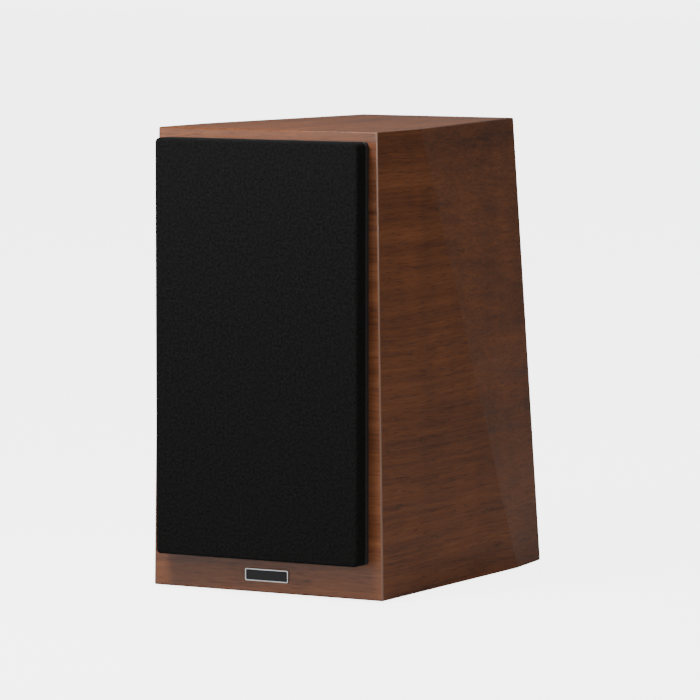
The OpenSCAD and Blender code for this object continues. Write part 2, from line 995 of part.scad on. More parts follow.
module tweeter_leads() {
    color("#202020")
        place() {
            tube_along(tweeter_route, lead_r);
            tube_along(shifted(tweeter_route, [-lead_gap, 0, 0]), lead_r);
        }
}

front_panel();
back_panel();
side_panel_left();
side_panel_right();
top_panel();
bottom_panel();
window_brace();
baffle();
badge();
pads();
baffle_magnets();
wadding_left();
wadding_right();
grille_frame();
grille_cloth();
grille_magnets();
waveguide();
tweeter_ring();
tweeter_screws();
tweeter_dome();
tweeter_surround();
tweeter_coil();
tweeter_plate();
tweeter_magnet();
tweeter_yoke();
tweeter_motor_screws();
woofer_ring();
slotted_flange();
lens();
basket();
gasket();
woofer_screws();
cone();
dust_cap();
woofer_surround();
spider();
woofer_coil();
woofer_plate();
woofer_magnet();
woofer_yoke();
driver_tags();
port_tube();
terminal_cup();
cup_screws();
post_stems();
washer_left();
nut_left();
grip_left();
washer_right();
nut_right();
grip_right();
crossover_board();
standoffs();
woofer_inductor();
tweeter_inductor();
capacitors();
resistors();
input_leads();
woofer_leads();
tweeter_leads();
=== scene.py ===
# %% [markdown]
# # A bookshelf speaker
# The real object is a tapered walnut box. Two drivers look out of a dark baffle: a tweeter in the throat
# of a horn, and a woofer behind a perforated bowl. A cloth grille covers them and pulls straight off.
# The solid parts come from CAD with their true sizes. This script keeps their places, and gives each one
# the rounded edges, cloth, holes, windings and finishes that the real piece has.

# %% Load the frame and keep its size
import json
import math

import bmesh
import bpy
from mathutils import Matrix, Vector, noise


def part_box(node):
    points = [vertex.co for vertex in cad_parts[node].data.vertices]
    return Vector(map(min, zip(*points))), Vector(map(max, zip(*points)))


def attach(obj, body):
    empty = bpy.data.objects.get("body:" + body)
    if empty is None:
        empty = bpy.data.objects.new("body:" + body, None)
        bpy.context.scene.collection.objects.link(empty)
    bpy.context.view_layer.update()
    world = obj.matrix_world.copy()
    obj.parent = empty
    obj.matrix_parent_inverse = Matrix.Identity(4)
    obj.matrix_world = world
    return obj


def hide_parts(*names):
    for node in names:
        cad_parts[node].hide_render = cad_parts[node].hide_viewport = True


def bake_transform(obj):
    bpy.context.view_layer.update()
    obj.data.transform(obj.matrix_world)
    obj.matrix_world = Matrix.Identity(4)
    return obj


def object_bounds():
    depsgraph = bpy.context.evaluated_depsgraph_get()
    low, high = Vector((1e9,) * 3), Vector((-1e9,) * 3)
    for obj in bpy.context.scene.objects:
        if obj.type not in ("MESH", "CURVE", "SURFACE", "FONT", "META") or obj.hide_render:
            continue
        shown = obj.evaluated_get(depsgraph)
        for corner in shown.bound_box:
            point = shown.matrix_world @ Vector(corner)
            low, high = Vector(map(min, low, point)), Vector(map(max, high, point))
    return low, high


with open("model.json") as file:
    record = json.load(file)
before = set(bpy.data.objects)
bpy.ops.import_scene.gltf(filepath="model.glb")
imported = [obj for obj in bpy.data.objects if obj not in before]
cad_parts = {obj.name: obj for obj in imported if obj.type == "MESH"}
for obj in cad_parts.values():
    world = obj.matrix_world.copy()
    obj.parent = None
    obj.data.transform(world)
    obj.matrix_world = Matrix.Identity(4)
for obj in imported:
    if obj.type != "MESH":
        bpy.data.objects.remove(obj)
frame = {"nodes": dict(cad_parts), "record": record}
cad_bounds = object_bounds()
print("nodes in the frame:", len(frame["nodes"]))

# %% [markdown]
# ## Sizes and places
# Blender works in metres, and a maker thinks in millimetres. Two helpers bridge that: MM, and a function
# that finds the middle of a piece. Places are read from the boxes of the CAD pieces, so they follow the
# CAD. The few sizes that a box can't give, such as a screw circle, are written out with a name.

# %% Millimetres and places
MM = 0.001


def middle(node):
    low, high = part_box(node)
    return (low + high) / 2


front_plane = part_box("front_panel")[0].y
tweeter_axis = middle("tweeter_ring").z
woofer_axis = middle("woofer_ring").z
port_axis = middle("port_tube").z
print("tweeter axis", round(tweeter_axis / MM, 1), "woofer axis", round(woofer_axis / MM, 1))

# %% [markdown]
# ## Which body
# The record says which body each CAD node moves with and which material slot it has. A Blender piece
# that stands for a node takes its body from there, so the grille's cloth can't stay behind when the grille
# is pulled off. Its finish is given where the piece is made.

# %% Fit a piece to its body
body_of_node = {n: body for body, nodes in frame["record"]["behaviour"]["bodies"].items() for n in nodes}


def fit(piece, *nodes):
    """The piece stands for these nodes: it moves with their body, and the nodes are hidden."""
    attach(piece, body_of_node[nodes[0]])
    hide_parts(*nodes)
    return piece


def as_piece(name, mesh, *finishes):
    mesh.name = name
    piece = bpy.data.objects.new(name, mesh)
    bpy.context.scene.collection.objects.link(piece)
    if mesh.materials:
        mesh.materials.clear()
    for finish in finishes:
        mesh.materials.append(finish)
    return piece


# %% [markdown]
# ## A short way to write node trees
# A material or a Geometry Nodes tree is a list of nodes and wires. Written out one call at a time it gets
# long, so this small class adds a node, sets its values and joins its wires in one line. A value that is
# itself a socket becomes a wire. Its other methods are short names for the nodes that come up most.

# %% The node helper
class Tree:
    def __init__(self, tree):
        self.tree = tree

    def add(self, kind, inputs=None, **settings):
        node = self.tree.nodes.new(kind)
        for name, value in settings.items():
            setattr(node, name, value)
        for name, value in (inputs or {}).items():
            self.feed(node.inputs[name], value)
        return node

    def feed(self, socket, value):
        if isinstance(value, bpy.types.NodeSocket):
            self.tree.links.new(value, socket)
        else:
            socket.default_value = value

    def math(self, operation, first, second=0.0, clamp=False):
        node = self.add("ShaderNodeMath", {0: first, 1: second}, operation=operation)
        node.use_clamp = clamp
        return node.outputs[0]

    def ramp(self, value, *stops):
        """A colour ramp: each stop is a position and an RGB colour."""
        node = self.add("ShaderNodeValToRGB", {"Fac": value})
        ramp = node.color_ramp
        while len(ramp.elements) < len(stops):
            ramp.elements.new(0.5)
        for element, (position, colour) in zip(ramp.elements, stops):
            element.position = position
            element.color = (*colour, 1)
        return node.outputs["Color"]

    def spread(self, value, low, high, to_low, to_high):
        """Takes a value from one range to another and stops at its ends."""
        return self.add("ShaderNodeMapRange",
                        {"Value": value, "From Min": low, "From Max": high,
                         "To Min": to_low, "To Max": to_high}).outputs["Result"]

    def noise(self, place, size, detail=2.0):
        return self.add("ShaderNodeTexNoise",
                        {"Vector": place, "Scale": size, "Detail": detail}).outputs["Fac"]

    def scaled(self, vector, factor):
        return self.add("ShaderNodeVectorMath", {0: vector, "Scale": factor}, operation="SCALE").outputs[0]

    def xyz(self, x=0.0, y=0.0, z=0.0):
        return self.add("ShaderNodeCombineXYZ", {"X": x, "Y": y, "Z": z}).outputs[0]

    def made(self, kind, inputs=None, **settings):
        """The first output of a Geometry node."""
        return self.add("GeometryNode" + kind, inputs, **settings).outputs[0]

    def moved(self, geometry, **values):
        return self.made("Transform", {"Geometry": geometry, **values})

    def joined(self, *parts):
        node = self.add("GeometryNodeJoinGeometry")
        for part in parts:
            self.tree.links.new(part, node.inputs[0])
        return node.outputs[0]


def new_group(name, inputs, outputs):
    """A shader node group with named inputs and outputs."""
    group = bpy.data.node_groups.new(name, "ShaderNodeTree")
    for label, kind, value in inputs:
        socket = group.interface.new_socket(label, in_out="INPUT", socket_type=kind)
        if value is not None:
            socket.default_value = value
    for label, kind in outputs:
        group.interface.new_socket(label, in_out="OUTPUT", socket_type=kind)
    tree = Tree(group)
    return group, tree, tree.add("NodeGroupInput").outputs, tree.add("NodeGroupOutput").inputs


FLOAT, COLOUR, VECTOR = "NodeSocketFloat", "NodeSocketColor", "NodeSocketVector"
print("node helper ready")

# %% [markdown]
# ## Walnut
# Veneer is a thin slice of a tree, so its pattern is long streaks along the grain, darker late-wood
# bands, fine open pores, and a ribbon shimmer that runs across the streaks. One group makes all of it
# from object coordinates: the coordinates are squeezed along the grain, so that round noise turns into
# streaks. The coordinates are solid, so within one finish the pattern runs on from face to face.

# %% The walnut grain group
grain_group, g, g_in, g_out = new_group(
    "walnut_grain",
    [("Place", VECTOR, None), ("Turn", VECTOR, (0, 0, 0)), ("Streak Size", FLOAT, 1.0)],
    [("Color", COLOUR), ("Gloss Mask", FLOAT), ("Height", FLOAT)])

# The grain runs along the turned X axis.
turned = g.add("ShaderNodeMapping", {"Vector": g_in["Place"], "Rotation": g_in["Turn"]}).outputs[0]
bend = g.add("ShaderNodeTexNoise", {"Vector": turned, "Scale": 7.0, "Detail": 2.0}).outputs["Color"]
wander = g.add("ShaderNodeVectorMath", {0: bend, 1: (0.012, 0.012, 0.012)}, operation="MULTIPLY").outputs[0]
bent = g.add("ShaderNodeVectorMath", {0: turned, 1: wander}, operation="ADD").outputs[0]


def streaks(along, across, detail, roughness=0.5):
    """Noise that is stretched along the grain."""
    squeezed = g.add("ShaderNodeMapping", {"Vector": bent, "Scale": (along, across, across)}).outputs[0]
    sized = g.scaled(squeezed, g_in["Streak Size"])
    return g.add("ShaderNodeTexNoise", {"Vector": sized, "Scale": 1.0, "Detail": detail,
                                        "Roughness": roughness}).outputs["Fac"]


broad = streaks(1.6, 20.0, 3.0)
bands = streaks(4.0, 110.0, 4.0, 0.6)
lines = streaks(7.0, 520.0, 4.0, 0.7)
pores = streaks(75.0, 1700.0, 2.0, 0.6)
ribbon = streaks(26.0, 9.0, 2.0)
figure = g.math("ADD", g.math("MULTIPLY", broad, 0.28),
                g.math("ADD", g.math("MULTIPLY", bands, 0.34), g.math("MULTIPLY", lines, 0.38)))
colour = g.ramp(figure,
                (0.36, (0.052, 0.0140, 0.0036)), (0.45, (0.094, 0.0275, 0.0075)),
                (0.53, (0.126, 0.0385, 0.0110)), (0.64, (0.168, 0.0560, 0.0180)))
shimmer = g.spread(ribbon, 0.35, 0.65, 0.90, 1.09)
colour = g.scaled(colour, shimmer)
pore_mask = g.spread(pores, 0.36, 0.46, 1.0, 0.0)
pore_dark = g.math("SUBTRACT", 1.0, g.math("MULTIPLY", pore_mask, 0.42))
colour = g.scaled(colour, pore_dark)
g.feed(g_out["Color"], colour)
g.feed(g_out["Gloss Mask"], g.spread(bands, 0.3, 0.7, 0.0, 1.0))
g.feed(g_out["Height"], g.math("SUBTRACT", 1.0, pore_mask))
print("walnut grain group:", len(grain_group.nodes), "nodes")

# %% [markdown]
# ## A moulded or coated skin
# Moulded plastic, powder coat, vinyl and rubber all differ in colour and in how coarse their skin is, but
# they are made of the same parts: a base colour that drifts a little, fine grain that catches the light,
# and patches that handling has made shinier. One group gives those three, and each finish sets its sizes.

# %% The skin group
skin_group, s, s_in, s_out = new_group(
    "moulded_skin",
    [("Place", VECTOR, None), ("Colour", COLOUR, (0.5, 0.5, 0.5, 1)), ("Drift", FLOAT, 0.15),
     ("Grain Size", FLOAT, 900.0), ("Roughness", FLOAT, 0.5), ("Roughness Drift", FLOAT, 0.1)],
    [("Color", COLOUR), ("Roughness", FLOAT), ("Height", FLOAT)])
patches = s.noise(s_in["Place"], 28.0, 4.0)
grains = s.noise(s_in["Place"], s_in["Grain Size"])
drift = s.math("ADD", 1.0, s.math("MULTIPLY", s.math("SUBTRACT", patches, 0.5), s_in["Drift"]))
speck = s.math("ADD", 0.88, s.math("MULTIPLY", grains, 0.24))
skin_colour = s.scaled(s_in["Colour"], s.math("MULTIPLY", drift, speck))
s.feed(s_out["Color"], skin_colour)
s.feed(s_out["Roughness"], s.math("ADD", s_in["Roughness"], s.math(
    "MULTIPLY", s.math("SUBTRACT", patches, 0.5), s_in["Roughness Drift"]), clamp=True))
s.feed(s_out["Height"], grains)
print("skin group:", len(skin_group.nodes), "nodes")

# %% [markdown]
# ## Lathe marks
# The trim rings were turned. The tool leaves grooves that run round the axis, so their pattern depends on
# the distance from the axis and on the depth, and not on the angle. The group measures both from a centre
# that each material gives, and puts out a shade, a roughness and a fine height.

# %% The turned metal group
turned_group, t, t_in, t_out = new_group(
    "lathe_marks",
    [("Place", VECTOR, None), ("Centre", VECTOR, (0, 0, 0)), ("Pitch", FLOAT, 9000.0),
     ("Roughness", FLOAT, 0.2)],
    [("Shade", FLOAT), ("Roughness", FLOAT), ("Height", FLOAT)])
from_axis = t.add("ShaderNodeVectorMath", {0: t_in["Place"], 1: t_in["Centre"]},
                  operation="SUBTRACT").outputs[0]
flat_part = t.add("ShaderNodeVectorMath", {0: from_axis, 1: (1, 0, 1)}, operation="MULTIPLY").outputs[0]
radius = t.add("ShaderNodeVectorMath", {0: flat_part}, operation="LENGTH").outputs["Value"]
depth = t.add("ShaderNodeSeparateXYZ", {0: from_axis}).outputs["Y"]
groove_place = t.xyz(radius, depth)
grooves = t.noise(groove_place, t_in["Pitch"], 1.0)
smears = t.noise(t_in["Place"], 60.0, 3.0)
t.feed(t_out["Shade"], t.spread(grooves, 0.3, 0.7, 0.9, 1.06))
t.feed(t_out["Roughness"], t.math("ADD", t_in["Roughness"], t.math(
    "MULTIPLY", t.math("SUBTRACT", t.math("ADD", grooves, smears), 1.0), 0.16), clamp=True))
t.feed(t_out["Height"], grooves)
print("turned metal group:", len(turned_group.nodes), "nodes")

# %% [markdown]
# ## Finishes from the groups
# A finish is a Principled shader with one of the groups in front of it. Values that are the same all over
# the surface, such as the coat or the sheen, are set straight on the shader. Bump distance is in metres:
# a moulded grain is some hundredths of a millimetre deep.

# %% Make the finishes
def start_finish(name):
    material = bpy.data.materials.new(name)
    material.use_nodes = True
    material.node_tree.nodes.clear()
    tree = Tree(material.node_tree)
    shader = tree.add("ShaderNodeBsdfPrincipled")
    tree.add("ShaderNodeOutputMaterial", {"Surface": shader.outputs[0]})
    place = tree.add("ShaderNodeTexCoord").outputs["Object"]
    return material, tree, shader, place


def set_shader(shader, **values):
    for name, value in values.items():
        shader.inputs[name.replace("_", " ")].default_value = value


def bump(tree, shader, height, distance):
    node = tree.add("ShaderNodeBump", {"Height": height, "Strength": 1.0, "Distance": distance})
    tree.feed(shader.inputs["Normal"], node.outputs[0])


def walnut(name, turn, shine=0.12):
    material, tree, shader, place = start_finish(name)
    grain = tree.add("ShaderNodeGroup")
    grain.node_tree = grain_group
    tree.feed(grain.inputs["Place"], place)
    grain.inputs["Turn"].default_value = turn
    tree.feed(shader.inputs["Base Color"], grain.outputs["Color"])
    tree.feed(shader.inputs["Roughness"], tree.spread(grain.outputs["Gloss Mask"], 0, 1, 0.40, 0.52))
    bump(tree, shader, grain.outputs["Height"], 0.00004)
    set_shader(shader, Coat_Weight=0.14, Coat_Roughness=0.26, Specular_IOR_Level=shine)
    return material


def skin(name, colour, roughness=0.5, grain=900.0, depth=0.00003, drift=0.15, roughness_drift=0.1, **values):
    material, tree, shader, place = start_finish(name)
    group = tree.add("ShaderNodeGroup")
    group.node_tree = skin_group
    for label, value in {"Place": place, "Colour": (*colour, 1), "Drift": drift, "Grain Size": grain,
                         "Roughness": roughness, "Roughness Drift": roughness_drift}.items():
        tree.feed(group.inputs[label], value)
    tree.feed(shader.inputs["Base Color"], group.outputs["Color"])
    tree.feed(shader.inputs["Roughness"], group.outputs["Roughness"])
    bump(tree, shader, group.outputs["Height"], depth)
    set_shader(shader, **values)
    return material


# These hold for both trim rings.
GROOVES_A_METRE = 9000.0
GROOVE_DEPTH = 0.000004


def turned_metal(name, colour, centre, roughness=0.2):
    material, tree, shader, place = start_finish(name)
    group = tree.add("ShaderNodeGroup")
    group.node_tree = turned_group
    inputs = {"Place": place, "Centre": centre, "Pitch": GROOVES_A_METRE, "Roughness": roughness}
    for label, value in inputs.items():
        tree.feed(group.inputs[label], value)
    tree.feed(shader.inputs["Base Color"], tree.scaled(colour, group.outputs["Shade"]))
    tree.feed(shader.inputs["Roughness"], group.outputs["Roughness"])
    bump(tree, shader, group.outputs["Height"], GROOVE_DEPTH)
    set_shader(shader, Metallic=1.0)
    return material


QUARTER = math.pi / 2
tweeter_centre = (0, 0, tweeter_axis)
woofer_centre = (0, 0, woofer_axis)

# The numbers after a skin's colour are its roughness, grain size, grain depth in metres, and how much its
# colour and its roughness drift.
finish = {
    "walnut_deep": walnut("walnut_front_to_back", (0, 0, QUARTER)),
    "walnut_across": walnut("walnut_side_to_side", (0, 0, 0), 0.4),
    "walnut_upright": walnut("walnut_upright", (0, QUARTER, 0)),
    "board": skin("bare_fibreboard", (0.36, 0.25, 0.15), 0.85, 1400, 0.00008, 0.3),
    "vinyl": skin("black_vinyl", (0.022, 0.019, 0.018), 0.48, 1500, 0.00005, 0.2),
    "baffle": skin("satin_charcoal", (0.0165, 0.0168, 0.0172), 0.46, 2600, 0.000012, 0.12, 0.06,
                   Specular_IOR_Level=0.22),
    "frame": skin("grille_moulding", (0.014, 0.014, 0.014), 0.55, 1200, 0.00004),
    "horn": skin("horn_moulding", (0.0062, 0.0059, 0.0053), 0.36, 2400, 0.000008, 0.1, 0.06,
                 Specular_IOR_Level=0.2),
    "dome": skin("dome_lacquer", (0.006, 0.006, 0.007), 0.10, 1200, 0.000003, 0.1, 0.04,
                 Coat_Weight=0.6, Coat_Roughness=0.04),
    "rubber": skin("soft_rubber", (0.016, 0.016, 0.016), 0.62, 1800, 0.00002),
    "lens": skin("lens_moulding", (0.015, 0.015, 0.0155), 0.38, 2200, 0.00001, 0.1, 0.06,
                 Specular_IOR_Level=0.35),
    "cast": skin("powder_coated_casting", (0.05, 0.052, 0.056), 0.5, 1600, 0.00004),
    "foam": skin("closed_foam", (0.014, 0.014, 0.014), 0.9, 1500, 0.0001),
    "cone": skin("coated_pulp", (0.016, 0.016, 0.018), 0.55, 700, 0.00006),
    "port": skin("port_moulding", (0.020, 0.020, 0.021), 0.38, 1600, 0.00003),
    "screw": skin("blackened_steel", (0.03, 0.03, 0.03), 0.35, 1600, 0.00001, Metallic=0.8),
    # A paler walnut for the rounded upright front edges: a painted highlight where the edge catches the
    # light.
    "walnut_edge_painted_highlight": skin("walnut_edge_painted_highlight", (0.125, 0.060, 0.034), 0.36, 700, 0.00002, Coat_Weight=0.2),
    "black_grip": skin("black_grip", (0.012, 0.012, 0.012), 0.24, 1200, 0.00001, Coat_Weight=0.3,
                       Coat_Roughness=0.1),
    "red_grip": skin("red_grip", (0.42, 0.012, 0.012), 0.24, 1200, 0.00001, Coat_Weight=0.3,
                     Coat_Roughness=0.1),
    "solder_mask": skin("solder_mask", (0.02, 0.13, 0.045), 0.3, 600, 0.00002),
    "film": skin("yellow_film", (0.62, 0.44, 0.05), 0.3, 400, 0.00003),
    "cement": skin("white_cement", (0.66, 0.64, 0.57), 0.8, 1300, 0.00008),
    "red_lead": skin("red_insulation", (0.36, 0.015, 0.015), 0.42, 700, 0.00001),
    "black_lead": skin("black_insulation", (0.016, 0.016, 0.016), 0.42, 700, 0.00001),
    "ferrite": skin("pressed_ferrite", (0.04, 0.04, 0.043), 0.7, 1100, 0.00006),
    "copper": skin("enamelled_copper", (0.70, 0.27, 0.12), 0.28, 500, 0.00001, Metallic=1.0),
    "nickel": skin("nickel_plate", (0.62, 0.61, 0.59), 0.22, 700, 0.000004, Metallic=1.0),
    "zinc": skin("zinc_plate", (0.52, 0.52, 0.50), 0.36, 500, 0.00001, Metallic=1.0),
    "brass": skin("gold_plate", (0.80, 0.56, 0.22), 0.2, 600, 0.000004, Metallic=1.0),
    "tweeter_trim": turned_metal("tweeter_trim", (0.80, 0.80, 0.81), tweeter_centre, 0.20),
    "woofer_trim": turned_metal("woofer_trim", (0.80, 0.80, 0.81), woofer_centre, 0.20),
    "badge_plate": skin("badge_plate", (0.010, 0.010, 0.011), 0.36, 1500, 0.00001, Specular_IOR_Level=0.2),
    "badge_line": skin("badge_line", (0.62, 0.62, 0.62), 0.3, 1500, 0.000005, Metallic=1.0),
    "feet": skin("foot_rubber", (0.018, 0.018, 0.018), 0.7, 1500, 0.00004),
}
print("finishes:", len(finish))

# %% [markdown]
# ## Cloth
# Grille cloth is a fine knit that lets sound through. Its threads cross every two thirds of a millimetre,
# and the holes between them look black. The pattern has to follow the cloth round the frame, so it reads the
# piece's own UV map, which holds the flat cloth's place in metres. A little sheen stands for the fuzz.

# %% The cloth finish
CLOTH_ROUGHNESS = 0.92


def knit(name, colour, pitch, sheen, depth):
    material, tree, shader, _ = start_finish(name)
    flat_place = tree.add("ShaderNodeUVMap", uv_map="flat").outputs[0]
    turns = tree.scaled(flat_place, 2 * math.pi / pitch)
    axes = tree.add("ShaderNodeSeparateXYZ", {0: turns}).outputs
    across = tree.math("SINE", axes["X"])
    along = tree.math("SINE", axes["Y"])
    stagger = tree.math("SINE", tree.math("ADD", tree.math("MULTIPLY", axes["X"], 0.5),
                                          tree.math("MULTIPLY", axes["Y"], 0.5)))
    threads = tree.math("MAXIMUM", tree.math("MULTIPLY", across, across), tree.math("MULTIPLY", along, along))
    hole = tree.spread(threads, 0.12, 0.5, 0.0, 1.0)
    fibre = tree.noise(flat_place, 5200.0)
    slub = tree.noise(flat_place, 620.0, 3.0)
    shade = tree.math("MULTIPLY", tree.spread(slub, 0.34, 0.66, 0.55, 1.45),
                      tree.spread(tree.math("ADD", stagger, fibre), -1.0, 2.0, 0.86, 1.14))
    shade = tree.math("MULTIPLY", shade, tree.spread(hole, 0, 1, 0.35, 1.0))
    base = tree.scaled(colour, shade)
    tree.feed(shader.inputs["Base Color"], base)
    rough = tree.spread(fibre, 0, 1, CLOTH_ROUGHNESS - 0.06, CLOTH_ROUGHNESS + 0.06)
    tree.feed(shader.inputs["Roughness"], rough)
    height = tree.math("ADD", hole, tree.math("MULTIPLY", fibre, 0.3))
    bump(tree, shader, height, depth)
    set_shader(shader, Sheen_Weight=sheen, Sheen_Roughness=0.45, Specular_IOR_Level=0.04)
    return material


finish["cloth"] = knit("grille_knit", (0.0058, 0.0057, 0.0056), pitch=0.0013, sheen=0.01, depth=0.00010)


def fibre_finish():
    """Loose white fibre: clumps and strands in solid coordinates."""
    material, tree, shader, place = start_finish("loose_fibre")
    clumps = tree.noise(place, 90.0, 5.0)
    strands = tree.add("ShaderNodeTexNoise", {"Vector": place, "Scale": 900.0, "Detail": 3.0,
                                              "Distortion": 1.5}).outputs["Fac"]
    white = tree.ramp(clumps, (0.3, (0.52, 0.50, 0.44)), (0.7, (0.78, 0.76, 0.70)))
    tree.feed(shader.inputs["Base Color"], white)
    tree.feed(shader.inputs["Roughness"], tree.spread(strands, 0, 1, 0.85, 1.0))
    bump(tree, shader, tree.math("ADD", clumps, strands), 0.0006)
    set_shader(shader, Sheen_Weight=0.4)
    return material


def spider_finish():
    """Resin-treated cloth, with a fine weave of noise in solid coordinates."""
    material, tree, shader, place = start_finish("treated_cloth")
    weave = tree.noise(place, 1500.0)
    tan = tree.ramp(weave, (0.35, (0.30, 0.17, 0.04)), (0.65, (0.56, 0.37, 0.12)))
    tree.feed(shader.inputs["Base Color"], tan)
    tree.feed(shader.inputs["Roughness"], tree.spread(weave, 0, 1, 0.55, 0.75))
    bump(tree, shader, weave, 0.0002)
    return material


finish["fibre"] = fibre_finish()
finish["spider"] = spider_finish()
print("cloth, fibre and spider finishes made")

# %% [markdown]
# ## Round the edges of a CAD piece
# No real edge is perfectly sharp: a softened edge is what catches a line of light. A CAD node comes as
# loose triangles. A copy of it is welded, its flat triangles are joined back into faces, and then only the
# edges that fold by more than an angle are bevelled. The node itself is left alone.

# %% The refining helper
BARELY_BENT = math.radians(0.8)
STILL_SMOOTH = math.radians(35)


def welded_copy(node):
    bm = bmesh.new()
    bm.from_mesh(frame["nodes"][node].data)
    bmesh.ops.remove_doubles(bm, verts=bm.verts, dist=0.005 * MM)
    bmesh.ops.dissolve_degenerate(bm, edges=bm.edges, dist=0.002 * MM)
    bmesh.ops.dissolve_limit(bm, angle_limit=math.radians(0.6), verts=bm.verts, edges=bm.edges)
    return bm


# Two normals whose dot product is at least this belong to one flat face.
SAME_WAY = 0.9999


def soften(bm, rounding, edges, segments=2, still_smooth=STILL_SMOOTH):
    """Bevels the edges, and leaves flat faces flat so that their shading stays even."""
    for face in bm.faces:
        bends = [e.calc_face_angle(0) for e in face.edges if len(e.link_faces) == 2]
        face.smooth = any(BARELY_BENT < bend < still_smooth for bend in bends)
    flat_ways = {tuple(round(c, 4) for c in face.normal) for face in bm.faces if not face.smooth}
    flat_ways = [Vector(way) for way in flat_ways]
    if rounding and edges:
        made = bmesh.ops.bevel(bm, geom=edges, offset=rounding * MM, offset_type="OFFSET", segments=segments,
                               profile=0.5, affect="EDGES", clamp_overlap=True)
        for face in made["faces"]:
            face.normal_update()
            face.smooth = all(face.normal.dot(way) < SAME_WAY for way in flat_ways)


def sharp_edges(bm, angle):
    return [e for e in bm.edges if len(e.link_faces) == 2 and e.calc_face_angle(0) > math.radians(angle)]


def to_mesh(bm, smooth_angle=46):
    """Splits faces with many corners into triangles, and makes edges sharp from an angle on."""
    mesh = bpy.data.meshes.new("piece")
    bmesh.ops.triangulate(bm, faces=[f for f in bm.faces if len(f.verts) > 4])
    bm.normal_update()
    curved = [face.smooth for face in bm.faces]
    bm.to_mesh(mesh)
    bm.free()
    mesh.set_sharp_from_angle(angle=math.radians(smooth_angle))
    mesh.polygons.foreach_set("use_smooth", curved)
    return mesh


def refined(node, material, rounding=0.0, angle=50, segments=2, smooth_angle=46):
    bm = welded_copy(node)
    soften(bm, rounding, sharp_edges(bm, angle), segments)
    return fit(as_piece(node + "_finished", to_mesh(bm, smooth_angle), material), node)


def keep(node, material):
    """A CAD node whose shape is right keeps its mesh and gets a finish."""
    mesh = frame["nodes"][node].data
    mesh.materials.clear()
    mesh.materials.append(material)
    return frame["nodes"][node]


# %% [markdown]
# ## The cabinet's boards
# The box is glued up from boards, then veneered and sanded, so its outer edges are rounded by almost a
# millimetre and the joints between boards don't show. Only edges of the whole box are rounded: a face is
# an outer face if every board lies behind it. The veneer's grain runs front to back on the sides and the
# top, side to side on the front, and upright on the back edges of the sides. The rounded upright edges at
# the front get a paler walnut colour, a painted highlight where the edge catches the light. Inside, the
# board is bare.

# %% Make the boards
boards = ["front_panel", "back_panel", "side_panel_left", "side_panel_right", "top_panel", "bottom_panel"]
board_points = [v.co.copy() for node in boards for v in frame["nodes"][node].data.vertices]
corner_points = [p for p in board_points if abs(p.x) > 50 * MM]
BOX_EDGE = 0.9
OUTER_SLACK = 0.05 * MM


def is_outer(face):
    normal, spot = face.normal, face.calc_center_median()
    return all((p - spot).dot(normal) < OUTER_SLACK for p in corner_points)


GRAINS = ["walnut_deep", "walnut_across", "walnut_upright", "board", "walnut_edge_painted_highlight"]


def grain_index(face, node):
    if not face.tag:
        return GRAINS.index("board")
    if abs(face.normal.y) < 0.7:
        return GRAINS.index("walnut_deep")
    return GRAINS.index("walnut_upright" if node.startswith("side") else "walnut_across")


for node in boards:
    if node == "back_panel":
        continue
    bm = welded_copy(node)
    for face in bm.faces:
        face.tag = is_outer(face)
    for face in bm.faces:
        face.material_index = grain_index(face, node)
    rim = [e for e in sharp_edges(bm, 4) if all(f.tag for f in e.link_faces)]
    soften(bm, BOX_EDGE, rim, 3, still_smooth=0)
    # The rounded upright edges at the front get the paler walnut: a painted highlight.
    for face in bm.faces:
        if face.smooth and face.normal.y < -0.2 and abs(face.normal.x) > 0.2:
            face.material_index = GRAINS.index("walnut_edge_painted_highlight")
    piece = as_piece(node + "_veneered", to_mesh(bm, 40), *[finish[name] for name in GRAINS])
    fit(piece, node)
    print(node, "rounded edges:", len(rim), "faces:", len(piece.data.polygons))

refined("back_panel", finish["vinyl"], 0.4, 60)
refined("window_brace", finish["board"], 0.5, 60)
refined("pads", finish["feet"], 0.35, segments=3)

# %% [markdown]
# ## Baffle and badge
# The baffle is a moulded plate with softened edges and a satin skin. The badge is a plain dark plate with
# a bright line round its rim: the line is the part of the CAD node that stands proud, so its faces are
# told apart by how far forward they are.

# %% Make the baffle and the badge
refined("baffle", finish["baffle"], 0.8, segments=3)
refined("baffle_magnets", finish["nickel"], 0.2)

badge_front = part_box("badge")[0].y
BADGE_LINE_DEPTH = 0.14 * MM
bm = welded_copy("badge")
soften(bm, 0.12, sharp_edges(bm, 50), 2)
badge_mesh = to_mesh(bm)
badge = as_piece("badge_plate", badge_mesh, finish["badge_plate"], finish["badge_line"])
for face in badge_mesh.polygons:
    face.material_index = int(face.center.y < badge_front + BADGE_LINE_DEPTH)
fit(badge, "badge")
print("badge faces:", len(badge_mesh.polygons))

# %% [markdown]
# ## The grille's cloth
# The cloth is one flat piece that is pulled over the frame, turned over its edges and glued in a rebate at
# the back. It is built as a stack of closed loops, from the front over the rounded edge, down the side and
# round the hem, with one face across the front. The loops share one outline with round corners. Each point
# also keeps its place on the flat cloth, which is the map that the knit follows.

# %% The cloth's outline and its loops
cloth_low, cloth_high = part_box("grille_cloth")
frame_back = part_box("grille_frame")[1].y
CLOTH_T = 0.45 * MM
HEM = 3.1 * MM
EDGE_R = 1.9 * MM
CORNER_R = 3.1 * MM
SIDE_GAP = 0.02 * MM
cloth_middle = (cloth_low + cloth_high) / 2
half_w = (cloth_high.x - cloth_low.x) / 2 - SIDE_GAP
half_h = (cloth_high.z - cloth_low.z) / 2 - SIDE_GAP


